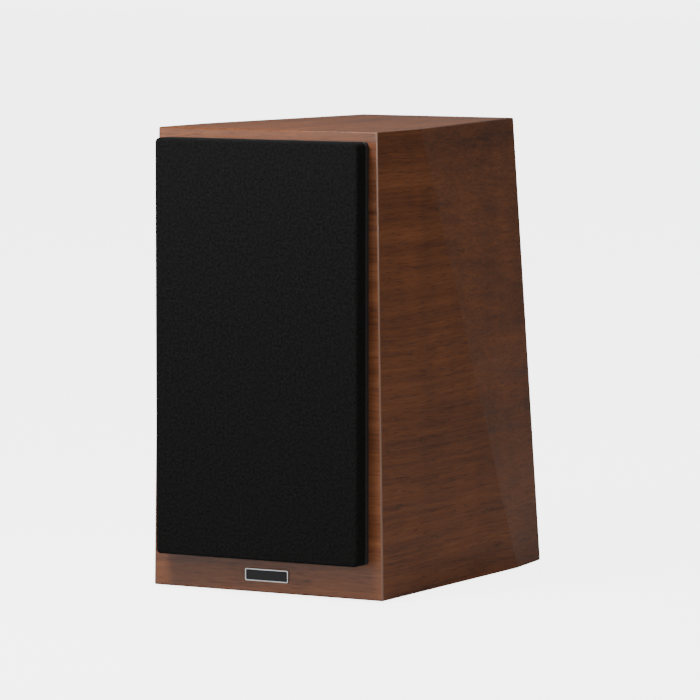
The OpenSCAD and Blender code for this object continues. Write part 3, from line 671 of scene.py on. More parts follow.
def outline(inset, corner_steps=8, edge_steps=6):
    """Points and outward directions round a rectangle with round corners, moved in by an inset."""
    radius = max(CORNER_R - inset, 0.3 * MM)
    found = []
    for turn in range(4):
        sx, sz = [(1, 1), (-1, 1), (-1, -1), (1, -1)][turn]
        centre = Vector((sx * (half_w - inset - radius), sz * (half_h - inset - radius)))
        for step in range(corner_steps + 1):
            a = math.radians(90 * (turn + step / corner_steps))
            way = Vector((math.cos(a), math.sin(a)))
            found.append((centre + radius * way, way))
    loop = []
    for i, (spot, way) in enumerate(found):
        loop.append((spot, way))
        if i % (corner_steps + 1) == corner_steps:
            following = found[(i + 1) % len(found)]
            for k in range(1, edge_steps):
                loop.append((spot.lerp(following[0], k / edge_steps), way))
    return loop


back_y = frame_back - 0.05 * MM
front_y = cloth_low.y
edge_arc = [(EDGE_R * (1 - math.sin(a)), front_y + EDGE_R * (1 - math.cos(a)))
            for a in [math.radians(90 - 15 * k) for k in range(7)]]
stations = [(HEM, back_y), (0.6 * MM, back_y), (0.12 * MM, back_y - 0.2 * MM), (0, back_y - 0.7 * MM),
            (0, (back_y + front_y) / 2)] + edge_arc
print("cloth stations:", len(stations), "front at", round(front_y / MM, 2))

# %% Sew the loops together
bm = bmesh.new()
flat_map = bm.loops.layers.uv.new("flat")
flat_place = {}
rows = []
travelled = 0.0
for i, (inset, y) in enumerate(reversed(stations)):
    if i:
        travelled += math.dist((inset, y), last_station)
    last_station = (inset, y)
    row = []
    for spot, way in outline(inset):
        vertex = bm.verts.new((cloth_middle.x + spot.x, y, cloth_middle.z + spot.y))
        edge_spot = spot + way * (inset - EDGE_R + travelled)
        flat_place[vertex] = (edge_spot.x, edge_spot.y)
        row.append(vertex)
    rows.append(row)
for inner, outer in zip(rows, rows[1:]):
    count = len(inner)
    for k in range(count):
        n = (k + 1) % count
        bm.faces.new((inner[k], inner[n], outer[n], outer[k]))
bm.faces.new(rows[0])
bmesh.ops.recalc_face_normals(bm, faces=bm.faces)
front_face = min(bm.faces, key=lambda f: f.calc_center_median().y - f.calc_area())
if front_face.normal.y > 0:
    bmesh.ops.reverse_faces(bm, faces=bm.faces)
for face in bm.faces:
    for corner in face.loops:
        corner[flat_map].uv = flat_place[corner.vert]
for face in bm.faces:
    face.smooth = len(face.verts) == 4
cloth_mesh = to_mesh(bm, 60)
cloth = as_piece("grille_cloth_sewn", cloth_mesh, finish["cloth"])
thick = cloth.modifiers.new("cloth_thickness", "SOLIDIFY")
thick.thickness = CLOTH_T
thick.offset = -1
fit(cloth, "grille_cloth")

refined("grille_frame", finish["frame"], 0.5)
refined("grille_magnets", finish["nickel"], 0.2)

# %% [markdown]
# ## A lathe in code
# Trim rings, domes, cones and rolls are all turned or pressed round one axis. A closed outline of radius
# and depth is spun round the driver's axis. The corners of the trim rings are rounded first, so the bright
# rings get the fine highlights of a real chamfer. Normals are made to point outwards once a shape is closed.

# %% The lathe helper
def round_corners(outline_points, radius, steps=3):
    """Replaces each corner of a closed outline in mm with a small curve."""
    rounded = []
    count = len(outline_points)
    for i, corner in enumerate(outline_points):
        here = Vector(corner)
        before, after = Vector(outline_points[i - 1]), Vector(outline_points[(i + 1) % count])
        cut = min(radius, 0.45 * (before - here).length, 0.45 * (after - here).length)
        start = here + (before - here).normalized() * cut
        end = here + (after - here).normalized() * cut
        if here.x < 0.001 or cut < 0.001:
            rounded.append(tuple(here))
            continue
        for k in range(steps + 1):
            f = k / steps
            rounded.append(tuple(start.lerp(here, f).lerp(here.lerp(end, f), f)))
    return rounded


def lathe(name, outline_points, axis_z, material, segments=128, smooth_angle=40):
    """Spins a closed outline of (radius, depth behind the front board) in mm round an axis."""
    bm = bmesh.new()
    rows = []
    for radius, depth in outline_points:
        y = front_plane + depth * MM
        if radius < 0.001:
            rows.append([bm.verts.new((0, y, axis_z))])
            continue
        rows.append([bm.verts.new((radius * MM * math.sin(2 * math.pi * k / segments), y,
                                   axis_z + radius * MM * math.cos(2 * math.pi * k / segments)))
                     for k in range(segments)])
    for one, two in zip(rows, rows[1:] + rows[:1]):
        if len(one) == 1 and len(two) == 1:
            continue
        for k in range(segments):
            n = (k + 1) % segments
            corners = [one[k % len(one)], one[n % len(one)], two[n % len(two)], two[k % len(two)]]
            bm.faces.new(list(dict.fromkeys(corners)))
    bmesh.ops.recalc_face_normals(bm, faces=bm.faces)
    for face in bm.faces:
        face.smooth = True
    return as_piece(name, to_mesh(bm, smooth_angle), material)


CHAMFER_OUT, CHAMFER_DEPTH, CHAMFER_IN = 0.45, 0.4, 0.55
SHOULDER = 0.6
TRIM_ROUNDING = 0.22


def trim_outline(outer_r, width, front):
    """A flat ring in mm with a chamfer on both sides of its front face."""
    inner_r = outer_r - width
    return round_corners([(inner_r, 0), (outer_r, 0), (outer_r, front + CHAMFER_DEPTH),
                          (outer_r - CHAMFER_OUT, front), (inner_r + CHAMFER_IN, front),
                          (inner_r, front + SHOULDER)], TRIM_ROUNDING)


def depth_of(y):
    return (y - front_plane) / MM


def radius_of(node):
    low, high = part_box(node)
    return (high.x - low.x) / 2 / MM


TRIM_W = 2.0
for node, axis, metal in [("tweeter_ring", tweeter_axis, "tweeter_trim"),
                          ("woofer_ring", woofer_axis, "woofer_trim")]:
    outer_r = radius_of(node)
    front = depth_of(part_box(node)[0].y)
    ring = lathe(node + "_turned", trim_outline(outer_r, TRIM_W, front), axis, finish[metal], 192)
    fit(ring, node)
    print(node, "radius", round(outer_r, 2), "front at", round(front, 2))

# %% [markdown]
# ## Horn and dome
# The horn is a smooth trumpet, moulded in one piece: steep at the throat and nearly flat at the mouth. Its
# CAD node has the true curve, so it is only welded and smoothed. The dome is a thin pressed cap. Its gloss
# shows every facet, so it is spun with many rings.

# %% Make the horn and the dome
refined("waveguide", finish["horn"], smooth_angle=30)


def cap_outline(rim_r, rim_depth, rise, thickness, steps=20):
    """A thin spherical cap that bulges forward."""
    ball_r = (rim_r * rim_r + rise * rise) / (2 * rise)
    centre = rim_depth - rise + ball_r
    reach = math.asin(rim_r / ball_r)
    front = [(ball_r * math.sin(reach * k / steps), centre - ball_r * math.cos(reach * k / steps))
             for k in range(steps + 1)]
    inner_r = ball_r - thickness
    inner_reach = math.acos((centre - rim_depth) / inner_r)
    back = [(inner_r * math.sin(inner_reach * k / steps),
             centre - inner_r * math.cos(inner_reach * k / steps)) for k in range(steps, -1, -1)]
    front[0], back[-1] = (0, front[0][1]), (0, back[-1][1])
    return front + back


DOME_T = 0.4
dome_low, dome_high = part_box("tweeter_dome")
dome_rise = (dome_high.y - dome_low.y) / MM
dome_cap = cap_outline(radius_of("tweeter_dome"), depth_of(dome_high.y), dome_rise, DOME_T)
dome = lathe("dome_pressed", dome_cap, tweeter_axis, finish["dome"], 96)
fit(dome, "tweeter_dome")


def roll_outline(land_in, inner, outer, land_out, land_depth, rise, thickness, steps=20):
    """A half-round roll with a flat land on each side."""
    mid, half = (inner + outer) / 2, (outer - inner) / 2
    front = [(mid - half * math.cos(math.pi * k / steps), land_depth - rise * math.sin(math.pi * k / steps))
             for k in range(steps + 1)]
    back = [(mid - (half - thickness) * math.cos(math.pi * k / steps),
             land_depth + thickness - rise * math.sin(math.pi * k / steps)) for k in range(steps, -1, -1)]
    return ([(land_in, land_depth)] + front + [(land_out, land_depth), (land_out, land_depth + thickness)]
            + back + [(land_in, land_depth + thickness)])


TWEETER_ROLL_T = 0.35
land = depth_of(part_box("tweeter_surround")[1].y) - TWEETER_ROLL_T
tweeter_roll = roll_outline(land_in=12.55, inner=12.85, outer=14.4, land_out=18, land_depth=land,
                            rise=0.8, thickness=TWEETER_ROLL_T)
roll = lathe("tweeter_roll", tweeter_roll, tweeter_axis, finish["rubber"], 128)
fit(roll, "tweeter_surround")
keep("tweeter_coil", finish["copper"])
for node in ["tweeter_plate", "tweeter_yoke"]:
    refined(node, finish["zinc"], 0.2)
refined("tweeter_magnet", finish["ferrite"], 0.6)
print("dome rings done, roll land at", round(land, 2))

# %% [markdown]
# ## The perforated lens
# The bowl in front of the woofer has rows of rhombic holes. Each row has 24 holes and sits half a step
# round from its neighbour, so the holes line up in spirals. It is made flat first, in a strip where X is
# the angle and Y is the radius: there every hole is the same diamond in the same tile. The strip is then
# bent to the bowl. A Geometry Nodes tree does it, so the number of holes, the row height and the share of
# a tile that is open stay adjustable.

# %% A tree for Geometry Nodes
def geometry_tree(name, inputs):
    group = bpy.data.node_groups.new(name, "GeometryNodeTree")
    group.interface.new_socket("Geometry", in_out="INPUT", socket_type="NodeSocketGeometry")
    for label, kind, value in inputs:
        socket = group.interface.new_socket(label, in_out="INPUT", socket_type=kind)
        socket.default_value = value
    group.interface.new_socket("Geometry", in_out="OUTPUT", socket_type="NodeSocketGeometry")
    tree = Tree(group)
    return group, tree, tree.add("NodeGroupInput").outputs, tree.add("NodeGroupOutput").inputs


def grow(name, group, values, material, base=None):
    """Runs a tree on a piece and gives back its result as a plain mesh."""
    seed_mesh = base or bpy.data.meshes.new(name + "_seed")
    seed = bpy.data.objects.new(name + "_seed", seed_mesh)
    bpy.context.scene.collection.objects.link(seed)
    modifier = seed.modifiers.new("grow", "NODES")
    modifier.node_group = group
    for item in group.interface.items_tree:
        if item.item_type == "SOCKET" and item.in_out == "INPUT" and item.name in values:
            modifier[item.identifier] = values[item.name]
    evaluated = seed.evaluated_get(bpy.context.evaluated_depsgraph_get())
    mesh = bpy.data.meshes.new_from_object(evaluated)
    bpy.data.objects.remove(seed)
    mesh.name = name
    piece = as_piece(name, mesh, material)
    print(name, "faces:", len(mesh.polygons))
    return piece


INT, MATERIAL = "NodeSocketInt", "NodeSocketMaterial"
print("geometry tree helper ready")

# %% The lens as flat tiles
lens_group, n, n_in, n_out = geometry_tree(
    "lens_tiles",
    [("Holes Round", INT, 24), ("Rows", INT, 16), ("Outer Row", FLOAT, 0.0515), ("Row Step", FLOAT, 0.00294),
     ("Open Share", FLOAT, 0.56), ("Rim", FLOAT, 0.055), ("Bowl Radius", FLOAT, 0.18),
     ("Bowl Centre", FLOAT, 0.0), ("Axis Height", FLOAT, 0.0), ("Finish", MATERIAL, None)])
columns = n_in["Holes Round"]
step = n_in["Row Step"]
pitch = n.math("DIVIDE", 2 * math.pi, columns)
half = n.math("MULTIPLY", pitch, 0.5)

# One tile: a diamond with a smaller diamond cut out of it.
diamond = n.made("MeshCircle", {"Vertices": 4, "Radius": 1.0}, fill_type="NGON")
drawn = n.add("GeometryNodeExtrudeMesh", {"Mesh": diamond, "Offset Scale": 0.0}, mode="FACES")
shrunk = n.made("ScaleElements", {"Geometry": drawn.outputs["Mesh"], "Selection": drawn.outputs["Top"],
                                  "Scale": n_in["Open Share"]}, domain="FACE")
opened = n.made("DeleteGeometry", {"Geometry": shrunk, "Selection": drawn.outputs["Top"]}, domain="FACE")
tile = n.made("SubdivideMesh", {"Mesh": opened, "Level": 1})
tile = n.moved(tile, Scale=n.xyz(half, step, 1.0))

# Rows of tiles, each second row half a step round.
last_row = n.math("SUBTRACT", n_in["Rows"], 1.0)
rows_height = n.math("MULTIPLY", last_row, step)
grid_width = n.math("MULTIPLY", n.math("SUBTRACT", columns, 1.0), pitch)
grid = n.made("MeshGrid", {"Size X": grid_width, "Size Y": rows_height,
                           "Vertices X": columns, "Vertices Y": n_in["Rows"]})
grid_centre = n.math("SUBTRACT", n_in["Outer Row"], n.math("MULTIPLY", rows_height, 0.5))
grid = n.moved(grid, Translation=n.xyz(0.0, grid_centre))
spot = n.add("ShaderNodeSeparateXYZ", {0: n.made("InputPosition")}).outputs
row_number = n.math("ROUND", n.math("DIVIDE", n.math("SUBTRACT", n_in["Outer Row"], spot["Y"]), step))
odd = n.math("MODULO", row_number, 2.0)
grid = n.made("SetPosition", {"Geometry": grid, "Offset": n.xyz(n.math("MULTIPLY", odd, half))})
tiles = n.made("InstanceOnPoints", {"Points": grid, "Instance": tile})
print("tile and rows drawn")

# %% [markdown]
# The saw-toothed edges of the tiled strip are filled with plain half diamonds. Then come two plain bands:
# one out to the rim and one in to the small hole at the middle. All of them share their corners with the
# tiles, so the welded result is one sheet.

# %% Fill the edges of the strip and bend it
triangle = n.made("MeshCircle", {"Vertices": 3, "Radius": 1.0}, fill_type="NGON")
triangle = n.moved(triangle, Rotation=(0, 0, -math.pi / 2))
triangle = n.made("SubdivideMesh", {"Mesh": triangle, "Level": 1})
side = n.math("DIVIDE", half, math.sqrt(3) / 2)


def half_diamonds(height, turn, shift):
    """A row of filled half diamonds whose long sides lie at a height."""
    piece = n.moved(triangle, Scale=n.xyz(side, n.math("MULTIPLY", step, turn / 1.5), 1.0))
    piece = n.moved(piece, Translation=n.xyz(0.0, n.math("MULTIPLY", step, -turn / 3)))
    start = n.xyz(n.math("ADD", shift, first_x), height)
    line = n.made("MeshLine", {"Count": columns, "Start Location": start, "Offset": n.xyz(pitch)},
                  mode="OFFSET")
    return n.made("InstanceOnPoints", {"Points": line, "Instance": piece})


first_x = n.math("MULTIPLY", n.math("MULTIPLY", n.math("SUBTRACT", columns, 1.0), pitch), -0.5)
outer_tip = n.math("ADD", n_in["Outer Row"], step)
inner_tip = n.math("SUBTRACT", n_in["Outer Row"], n.math("ADD", rows_height, step))
last_odd = n.math("MODULO", last_row, 2.0)
outer_teeth = half_diamonds(outer_tip, 1.0, half)
inner_teeth = half_diamonds(inner_tip, -1.0, n.math("MULTIPLY", n.math("SUBTRACT", 1.0, last_odd), half))


def band(low, high, parts):
    """A plain strip between two radii, with a corner wherever a tooth has one."""
    height = n.math("SUBTRACT", high, low)
    corners = n.math("ADD", n.math("MULTIPLY", columns, 2.0), 1.0)
    strip = n.made("MeshGrid", {"Size X": 2 * math.pi, "Size Y": height,
                                "Vertices X": corners, "Vertices Y": parts})
    centre = n.xyz(n.math("ADD", first_x, math.pi), n.math("MULTIPLY", n.math("ADD", low, high), 0.5))
    return n.moved(strip, Translation=centre)


CENTRE_HOLE_R = 0.0007
rim_band = band(outer_tip, n_in["Rim"], 2)
middle_band = band(CENTRE_HOLE_R, inner_tip, 3)
whole = n.joined(middle_band, rim_band, inner_teeth, outer_teeth, tiles)
whole = n.made("RealizeInstances", {"Geometry": whole})
strip_spot = n.add("ShaderNodeSeparateXYZ", {0: n.made("InputPosition")}).outputs
angle, radius = strip_spot["X"], strip_spot["Y"]
sag = n.math("SQRT", n.math("SUBTRACT", n.math("POWER", n_in["Bowl Radius"], 2.0),
                            n.math("POWER", radius, 2.0)))
bent_spot = n.xyz(n.math("MULTIPLY", radius, n.math("SINE", angle)), n.math("ADD", n_in["Bowl Centre"], sag),
                  n.math("ADD", n_in["Axis Height"], n.math("MULTIPLY", radius, n.math("COSINE", angle))))
bowl = n.made("SetPosition", {"Geometry": whole, "Position": bent_spot})
bowl = n.made("MergeByDistance", {"Geometry": bowl, "Distance": 0.00003})
bowl = n.made("SetMaterial", {"Geometry": bowl, "Material": n_in["Finish"]})
n.tree.links.new(bowl, n_out[0])

# %% Press the lens
LENS_T = 1.3 * MM
lens_rim = radius_of("lens") * MM
lens_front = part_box("lens")[0].y - 0.2 * MM
LENS_SAG = 8.6 * MM
bowl_radius = (lens_rim ** 2 + LENS_SAG ** 2) / (2 * LENS_SAG)
lens_piece = grow("lens_pressed", lens_group,
                  {"Rows": 16, "Rim": lens_rim, "Bowl Radius": bowl_radius,
                   "Bowl Centre": lens_front + LENS_SAG - bowl_radius, "Axis Height": woofer_axis,
                   "Finish": finish["lens"]}, finish["lens"])
bm = bmesh.new()
bm.from_mesh(lens_piece.data)
if sum(f.normal.y * f.calc_area() for f in bm.faces) > 0:
    bmesh.ops.reverse_faces(bm, faces=bm.faces)
print("open edges:", sum(len(e.link_faces) == 1 for e in bm.edges), "loose:",
      sum(len(e.link_faces) > 2 for e in bm.edges))
bm.to_mesh(lens_piece.data)
bm.free()
lens_piece.data.shade_smooth()
wall = lens_piece.modifiers.new("wall", "SOLIDIFY")
wall.thickness = LENS_T
wall.offset = -1
fit(lens_piece, "lens")

# %% [markdown]
# ## The rest of the woofer
# The slotted flange is moulded with a rolled lip that holds the lens, so its edges are softened. Cone, dust
# cap, roll and spider are pressed sheets of revolution, and they are spun like the dome. The basket is a
# powder-coated casting. The motor parts are plain turned steel and pressed ferrite.
#
# Roll and spider join the moving cone to the fixed basket, so they bend when the cone moves. Here each is
# only spun and baked in place, and doesn't bend.

# %% Make the woofer's pieces
refined("slotted_flange", finish["lens"], 0.25, angle=40, smooth_angle=34)
refined("basket", finish["cast"], 0.3, 45)
refined("gasket", finish["foam"], 0.2)

CAP_T = 0.6
cap_low, cap_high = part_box("dust_cap")
cap_line = cap_outline(radius_of("dust_cap"), depth_of(cap_high.y), (cap_high.y - cap_low.y) / MM, CAP_T, 14)
cap = lathe("dust_cap_pressed", cap_line, woofer_axis, finish["cone"], 96)
fit(cap, "dust_cap")

cone_low, cone_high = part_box("cone")
CONE_T, CONE_INNER_R, CONE_TUCK, CONE_CURVE = 0.8, 13.0, 0.6, 1.12
cone_front, cone_back = depth_of(cone_low.y), depth_of(cone_high.y) - CONE_T
cone_rim = radius_of("cone")


def cone_line(shift, steps=12):
    """The cone's curved wall, from its rim to the coil."""
    drop = cone_back - CONE_TUCK - cone_front
    return [(cone_rim + (CONE_INNER_R - cone_rim) * k / steps,
             cone_front + shift + drop * (k / steps) ** CONE_CURVE) for k in range(steps + 1)]


cone = lathe("cone_pressed", cone_line(0) + cone_line(CONE_T)[::-1], woofer_axis, finish["cone"], 128)
fit(cone, "cone")


def flex(piece, node):
    """Hides the node and bakes the piece's place into its mesh."""
    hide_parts(node)
    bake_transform(piece)


WOOFER_ROLL_T, GLUED, ROLL_GAP, ROLL_OUTER_R = 0.7, 2.2, 0.3, 56.8
roll_inner_r = cone_rim + ROLL_GAP
woofer_roll = roll_outline(
    land_in=cone_rim - GLUED, inner=roll_inner_r, outer=ROLL_OUTER_R, land_out=62,
    land_depth=depth_of(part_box("woofer_surround")[1].y) - WOOFER_ROLL_T, rise=4, thickness=WOOFER_ROLL_T)
roll = lathe("woofer_roll", woofer_roll, woofer_axis, finish["rubber"], 128)
flex(roll, "woofer_surround")

WAVES, WAVE_HEIGHT, WAVE_STEPS = 4, 1.2, 64
SPIDER_T, SPIDER_LAND, SPIDER_INNER_R = 0.6, 5, 13.05
spider_low, spider_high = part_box("spider")
spider_mid = (depth_of(spider_low.y) + depth_of(spider_high.y) - SPIDER_T) / 2
spider_rim = radius_of("spider")
wave = [(SPIDER_INNER_R + (spider_rim - SPIDER_LAND - SPIDER_INNER_R) * k / WAVE_STEPS,
         spider_mid - WAVE_HEIGHT * math.sin(2 * math.pi * WAVES * k / WAVE_STEPS))
        for k in range(WAVE_STEPS + 1)]
wave.append((spider_rim, spider_mid))
spider = lathe("spider_pressed", wave + [(r, y + SPIDER_T) for r, y in reversed(wave)], woofer_axis,
               finish["spider"], 96, 50)
flex(spider, "spider")
keep("woofer_coil", finish["copper"])
for node in ["woofer_plate", "woofer_yoke"]:
    refined(node, finish["zinc"], 0.3)
refined("woofer_magnet", finish["ferrite"], 0.8)
refined("driver_tags", finish["brass"], 0.1)

# %% [markdown]
# ## Screws
# All screws are the same idea in different sizes: a domed head with a hexagon socket, and a shank. One tree
# builds a screw from named sizes and puts a copy on every point that it is given, so a driver's ring of
# screws is one piece. Which way a screw points is an input too, since some go in from the back.

# %% A tree that drives screws
screw_group, n, n_in, n_out = geometry_tree(
    "screws_on_points",
    [("Head Radius", FLOAT, 0.003), ("Head Height", FLOAT, 0.0016), ("Shank Radius", FLOAT, 0.0015),
     ("Length", FLOAT, 0.012), ("Turn", VECTOR, (0, 0, 0)), ("Finish", MATERIAL, None)])
head_h = n_in["Head Height"]


def raised(mesh, share, **picked):
    """Lifts a face by a share of the head's height."""
    return n.add("GeometryNodeExtrudeMesh", {"Mesh": mesh, **picked, "Individual": False, "Offset": (0, 0, 1),
                                             "Offset Scale": n.math("MULTIPLY", head_h, share)}, mode="FACES")


head = n.made("MeshCircle", {"Vertices": 24, "Radius": n_in["Head Radius"]}, fill_type="NGON")
wall = raised(head, 0.6)
edge = raised(wall.outputs["Mesh"], 0.3, Selection=wall.outputs["Top"])
domed = n.made("ScaleElements", {"Geometry": edge.outputs["Mesh"], "Selection": edge.outputs["Top"],
                                 "Scale": 0.86}, domain="FACE")
crown = raised(domed, 0.1, Selection=edge.outputs["Top"])
domed = n.made("ScaleElements", {"Geometry": crown.outputs["Mesh"], "Selection": crown.outputs["Top"],
                                 "Scale": 0.7}, domain="FACE")
bottom = n.made("FlipFaces", {"Mesh": head})
closed = n.made("MergeByDistance", {"Geometry": n.joined(domed, bottom), "Distance": 0.000005})
key = n.made("MeshCylinder", {"Vertices": 6, "Radius": n.math("MULTIPLY", n_in["Head Radius"], 0.45),
                              "Depth": head_h})
key = n.moved(key, Translation=n.xyz(z=n.math("MULTIPLY", head_h, 0.95)))
socketed = n.add("GeometryNodeMeshBoolean", {"Mesh 1": closed}, operation="DIFFERENCE")
n.tree.links.new(key, socketed.inputs["Mesh 2"])
shank = n.made("MeshCylinder", {"Vertices": 16, "Radius": n_in["Shank Radius"],
                                "Depth": n_in["Length"]})
shank = n.moved(shank, Translation=n.xyz(z=n.math("MULTIPLY", n_in["Length"], -0.5)))
screw_shape = n.moved(n.joined(socketed.outputs[0], shank), Rotation=n_in["Turn"])
placed = n.made("InstanceOnPoints", {"Points": n_in["Geometry"], "Instance": screw_shape})
placed = n.made("RealizeInstances", {"Geometry": placed})
placed = n.made("SetMaterial", {"Geometry": placed, "Material": n_in["Finish"]})
n.tree.links.new(placed, n_out[0])

# %% Drive the screws
FACING_FRONT = (QUARTER, 0, 0)
FACING_BACK = (-QUARTER, 0, 0)


def ring_of_points(axis_z, count, at, start, head_under_y):
    """Points on a circle of radius at, in mm, whose first one is start degrees round."""
    return [(at * MM * math.cos(math.radians(start + 360 * i / count)), head_under_y,
             axis_z + at * MM * math.sin(math.radians(start + 360 * i / count))) for i in range(count)]


def screws(node, points, head_r, head_h, shank_r, length, turn, material):
    base = bpy.data.meshes.new(node + "_points")
    base.from_pydata(points, [], [])
    piece = grow(node + "_driven", screw_group,
                 {"Head Radius": head_r * MM, "Head Height": head_h * MM, "Shank Radius": shank_r * MM,
                  "Length": length * MM, "Turn": turn, "Finish": material}, material, base)
    piece.data.shade_smooth()
    piece.data.set_sharp_from_angle(angle=math.radians(30))
    return fit(piece, node)


def behind(depth):
    return front_plane + depth * MM


cup_low, cup_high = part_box("cup_screws")
CUP_HEAD_R, CUP_HEAD_H, MOTOR_HEAD_H = 2.8, 1.6, 1.9
cup_inset = CUP_HEAD_R * MM
cup_points = [(x, cup_high.y - CUP_HEAD_H * MM, z)
              for x in (cup_low.x + cup_inset, cup_high.x - cup_inset)
              for z in (cup_low.z + cup_inset, cup_high.z - cup_inset)]
woofer_points = ring_of_points(woofer_axis, count=6, at=67, start=0, head_under_y=behind(1.95))
tweeter_points = ring_of_points(tweeter_axis, count=4, at=62, start=45, head_under_y=behind(1.8))
motor_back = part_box("tweeter_motor_screws")[1].y
motor_points = ring_of_points(tweeter_axis, count=3, at=30, start=90,
                              head_under_y=motor_back - MOTOR_HEAD_H * MM)
screws("cup_screws", cup_points, head_r=CUP_HEAD_R, head_h=CUP_HEAD_H, shank_r=1.2, length=11.4,
       turn=FACING_BACK, material=finish["screw"])
screws("woofer_screws", woofer_points, head_r=3.5, head_h=1.8, shank_r=1.9, length=13.2,
       turn=FACING_FRONT, material=finish["screw"])
screws("tweeter_screws", tweeter_points, head_r=3.1, head_h=1.7, shank_r=1.5, length=11.3,
       turn=FACING_FRONT, material=finish["screw"])
screws("tweeter_motor_screws", motor_points, head_r=2.4, head_h=MOTOR_HEAD_H, shank_r=1.2, length=5.6,
       turn=FACING_BACK, material=finish["zinc"])

# %% [markdown]
# ## Port and terminal cup
# The port is a smooth tube whose ends flare, so that moving air doesn't hiss. It is spun with many steps
# round the flare. The terminal cup is a moulded tray with softened edges, sunk into the back so that the
# posts don't stand out. Each post is a gold-plated stem with a nut in a ribbed grip.

# %% Make the port, the cup and the posts
port_low, port_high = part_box("port_tube")
end_depth, start_depth = depth_of(port_high.y), depth_of(port_low.y)
PORT_R, FLARE, SMALL_FLARE, PORT_WALL, PORT_NECK, PORT_LIP = 21.0, 11.0, 6.0, 2.0, 7.0, 3
flange_r = PORT_R + FLARE + PORT_LIP
back_plane = depth_of(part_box("back_panel")[1].y)
mouth = [(PORT_R + FLARE * (1 - math.cos(math.radians(90 * i / 24))),
          end_depth - FLARE * (1 - math.sin(math.radians(90 * i / 24)))) for i in range(25)]
inner_end = [(PORT_R + SMALL_FLARE * (1 - math.cos(math.radians(90 - 90 * i / 12))),
              start_depth + SMALL_FLARE * (1 - math.sin(math.radians(90 - 90 * i / 12)))) for i in range(13)]
outside = [(flange_r - 0.4, end_depth - 0.1), (flange_r, end_depth - 0.7),
           (flange_r, back_plane), (PORT_R + PORT_NECK, back_plane),
           (PORT_R + PORT_NECK - 1, end_depth - FLARE / 2), (PORT_R + PORT_WALL, end_depth - FLARE - 1),
           (PORT_R + PORT_WALL, start_depth + SMALL_FLARE), (PORT_R + SMALL_FLARE, start_depth + PORT_WALL)]
port = lathe("port_moulded", inner_end + mouth + outside, port_axis, finish["port"], 128, 34)
fit(port, "port_tube")
refined("terminal_cup", finish["port"], 0.7, segments=3)
refined("post_stems", finish["brass"], 0.15)
for side, grip in [("left", "black_grip"), ("right", "red_grip")]:
    refined("washer_" + side, finish["brass"], 0.15)
    refined("nut_" + side, finish["brass"], 0.3)
    refined("grip_" + side, finish[grip], 0.35, smooth_angle=28)

# %% [markdown]
# ## Windings
# The crossover's coils are round bobbins of enamelled wire. The turns lie side by side in layers, and only
# the outside shows, so one tree lays rings of wire on the outer and inner walls and on the two end faces.
# The rings are instances of one circle, made real before the wire gets its thickness.

# %% A tree that winds a coil
coil_group, n, n_in, n_out = geometry_tree(
    "wound_coil",
    [("Centre", VECTOR, (0, 0, 0)), ("Inner Radius", FLOAT, 0.01), ("Outer Radius", FLOAT, 0.02),
     ("Height", FLOAT, 0.02), ("Wire", FLOAT, 0.0006), ("Finish", MATERIAL, None)])
wire = n_in["Wire"]
thread = n.made("CurvePrimitiveCircle", {"Resolution": 5, "Radius": wire})


def winding(count, start, step_radius, step_height):
    """Rings of wire: each is one step wider and one step higher than the one before."""
    line = n.made("MeshLine", {"Count": count}, mode="OFFSET")
    number = n.made("InputIndex")
    height = n.math("ADD", start[1], n.math("MULTIPLY", number, step_height))
    line = n.made("SetPosition", {"Geometry": line, "Position": n.xyz(z=height)})
    size = n.math("ADD", start[0], n.math("MULTIPLY", number, step_radius))
    circle = n.made("CurvePrimitiveCircle", {"Resolution": 40, "Radius": 1.0})
    scale = n.xyz(size, size, 1.0)
    rings = n.made("InstanceOnPoints", {"Points": line, "Instance": circle, "Scale": scale})
    rings = n.made("RealizeInstances", {"Geometry": rings})
    return n.made("CurveToMesh", {"Curve": rings, "Profile Curve": thread})


thick_wire = n.math("MULTIPLY", wire, 2.0)
inner = n.math("ADD", n_in["Inner Radius"], wire)
outer = n.math("SUBTRACT", n_in["Outer Radius"], wire)
bottom_z, top_z = wire, n.math("SUBTRACT", n_in["Height"], wire)
turns_up = n.math("ROUND", n.math("DIVIDE", n_in["Height"], thick_wire))
layers = n.math("SUBTRACT", n_in["Outer Radius"], n_in["Inner Radius"])
turns_out = n.math("ROUND", n.math("DIVIDE", layers, thick_wire))
up = n.math("DIVIDE", n.math("SUBTRACT", top_z, bottom_z), n.math("SUBTRACT", turns_up, 1.0))
out = n.math("DIVIDE", n.math("SUBTRACT", outer, inner), n.math("SUBTRACT", turns_out, 1.0))
wound = n.joined(
    winding(turns_up, (outer, bottom_z), 0.0, up), winding(turns_up, (inner, bottom_z), 0.0, up),
    winding(turns_out, (inner, top_z), out, 0.0), winding(turns_out, (inner, bottom_z), out, 0.0))
coil = n.moved(wound, Translation=n_in["Centre"])
coil = n.made("RealizeInstances", {"Geometry": coil})
coil = n.made("SetMaterial", {"Geometry": coil, "Material": n_in["Finish"]})
n.tree.links.new(coil, n_out[0])

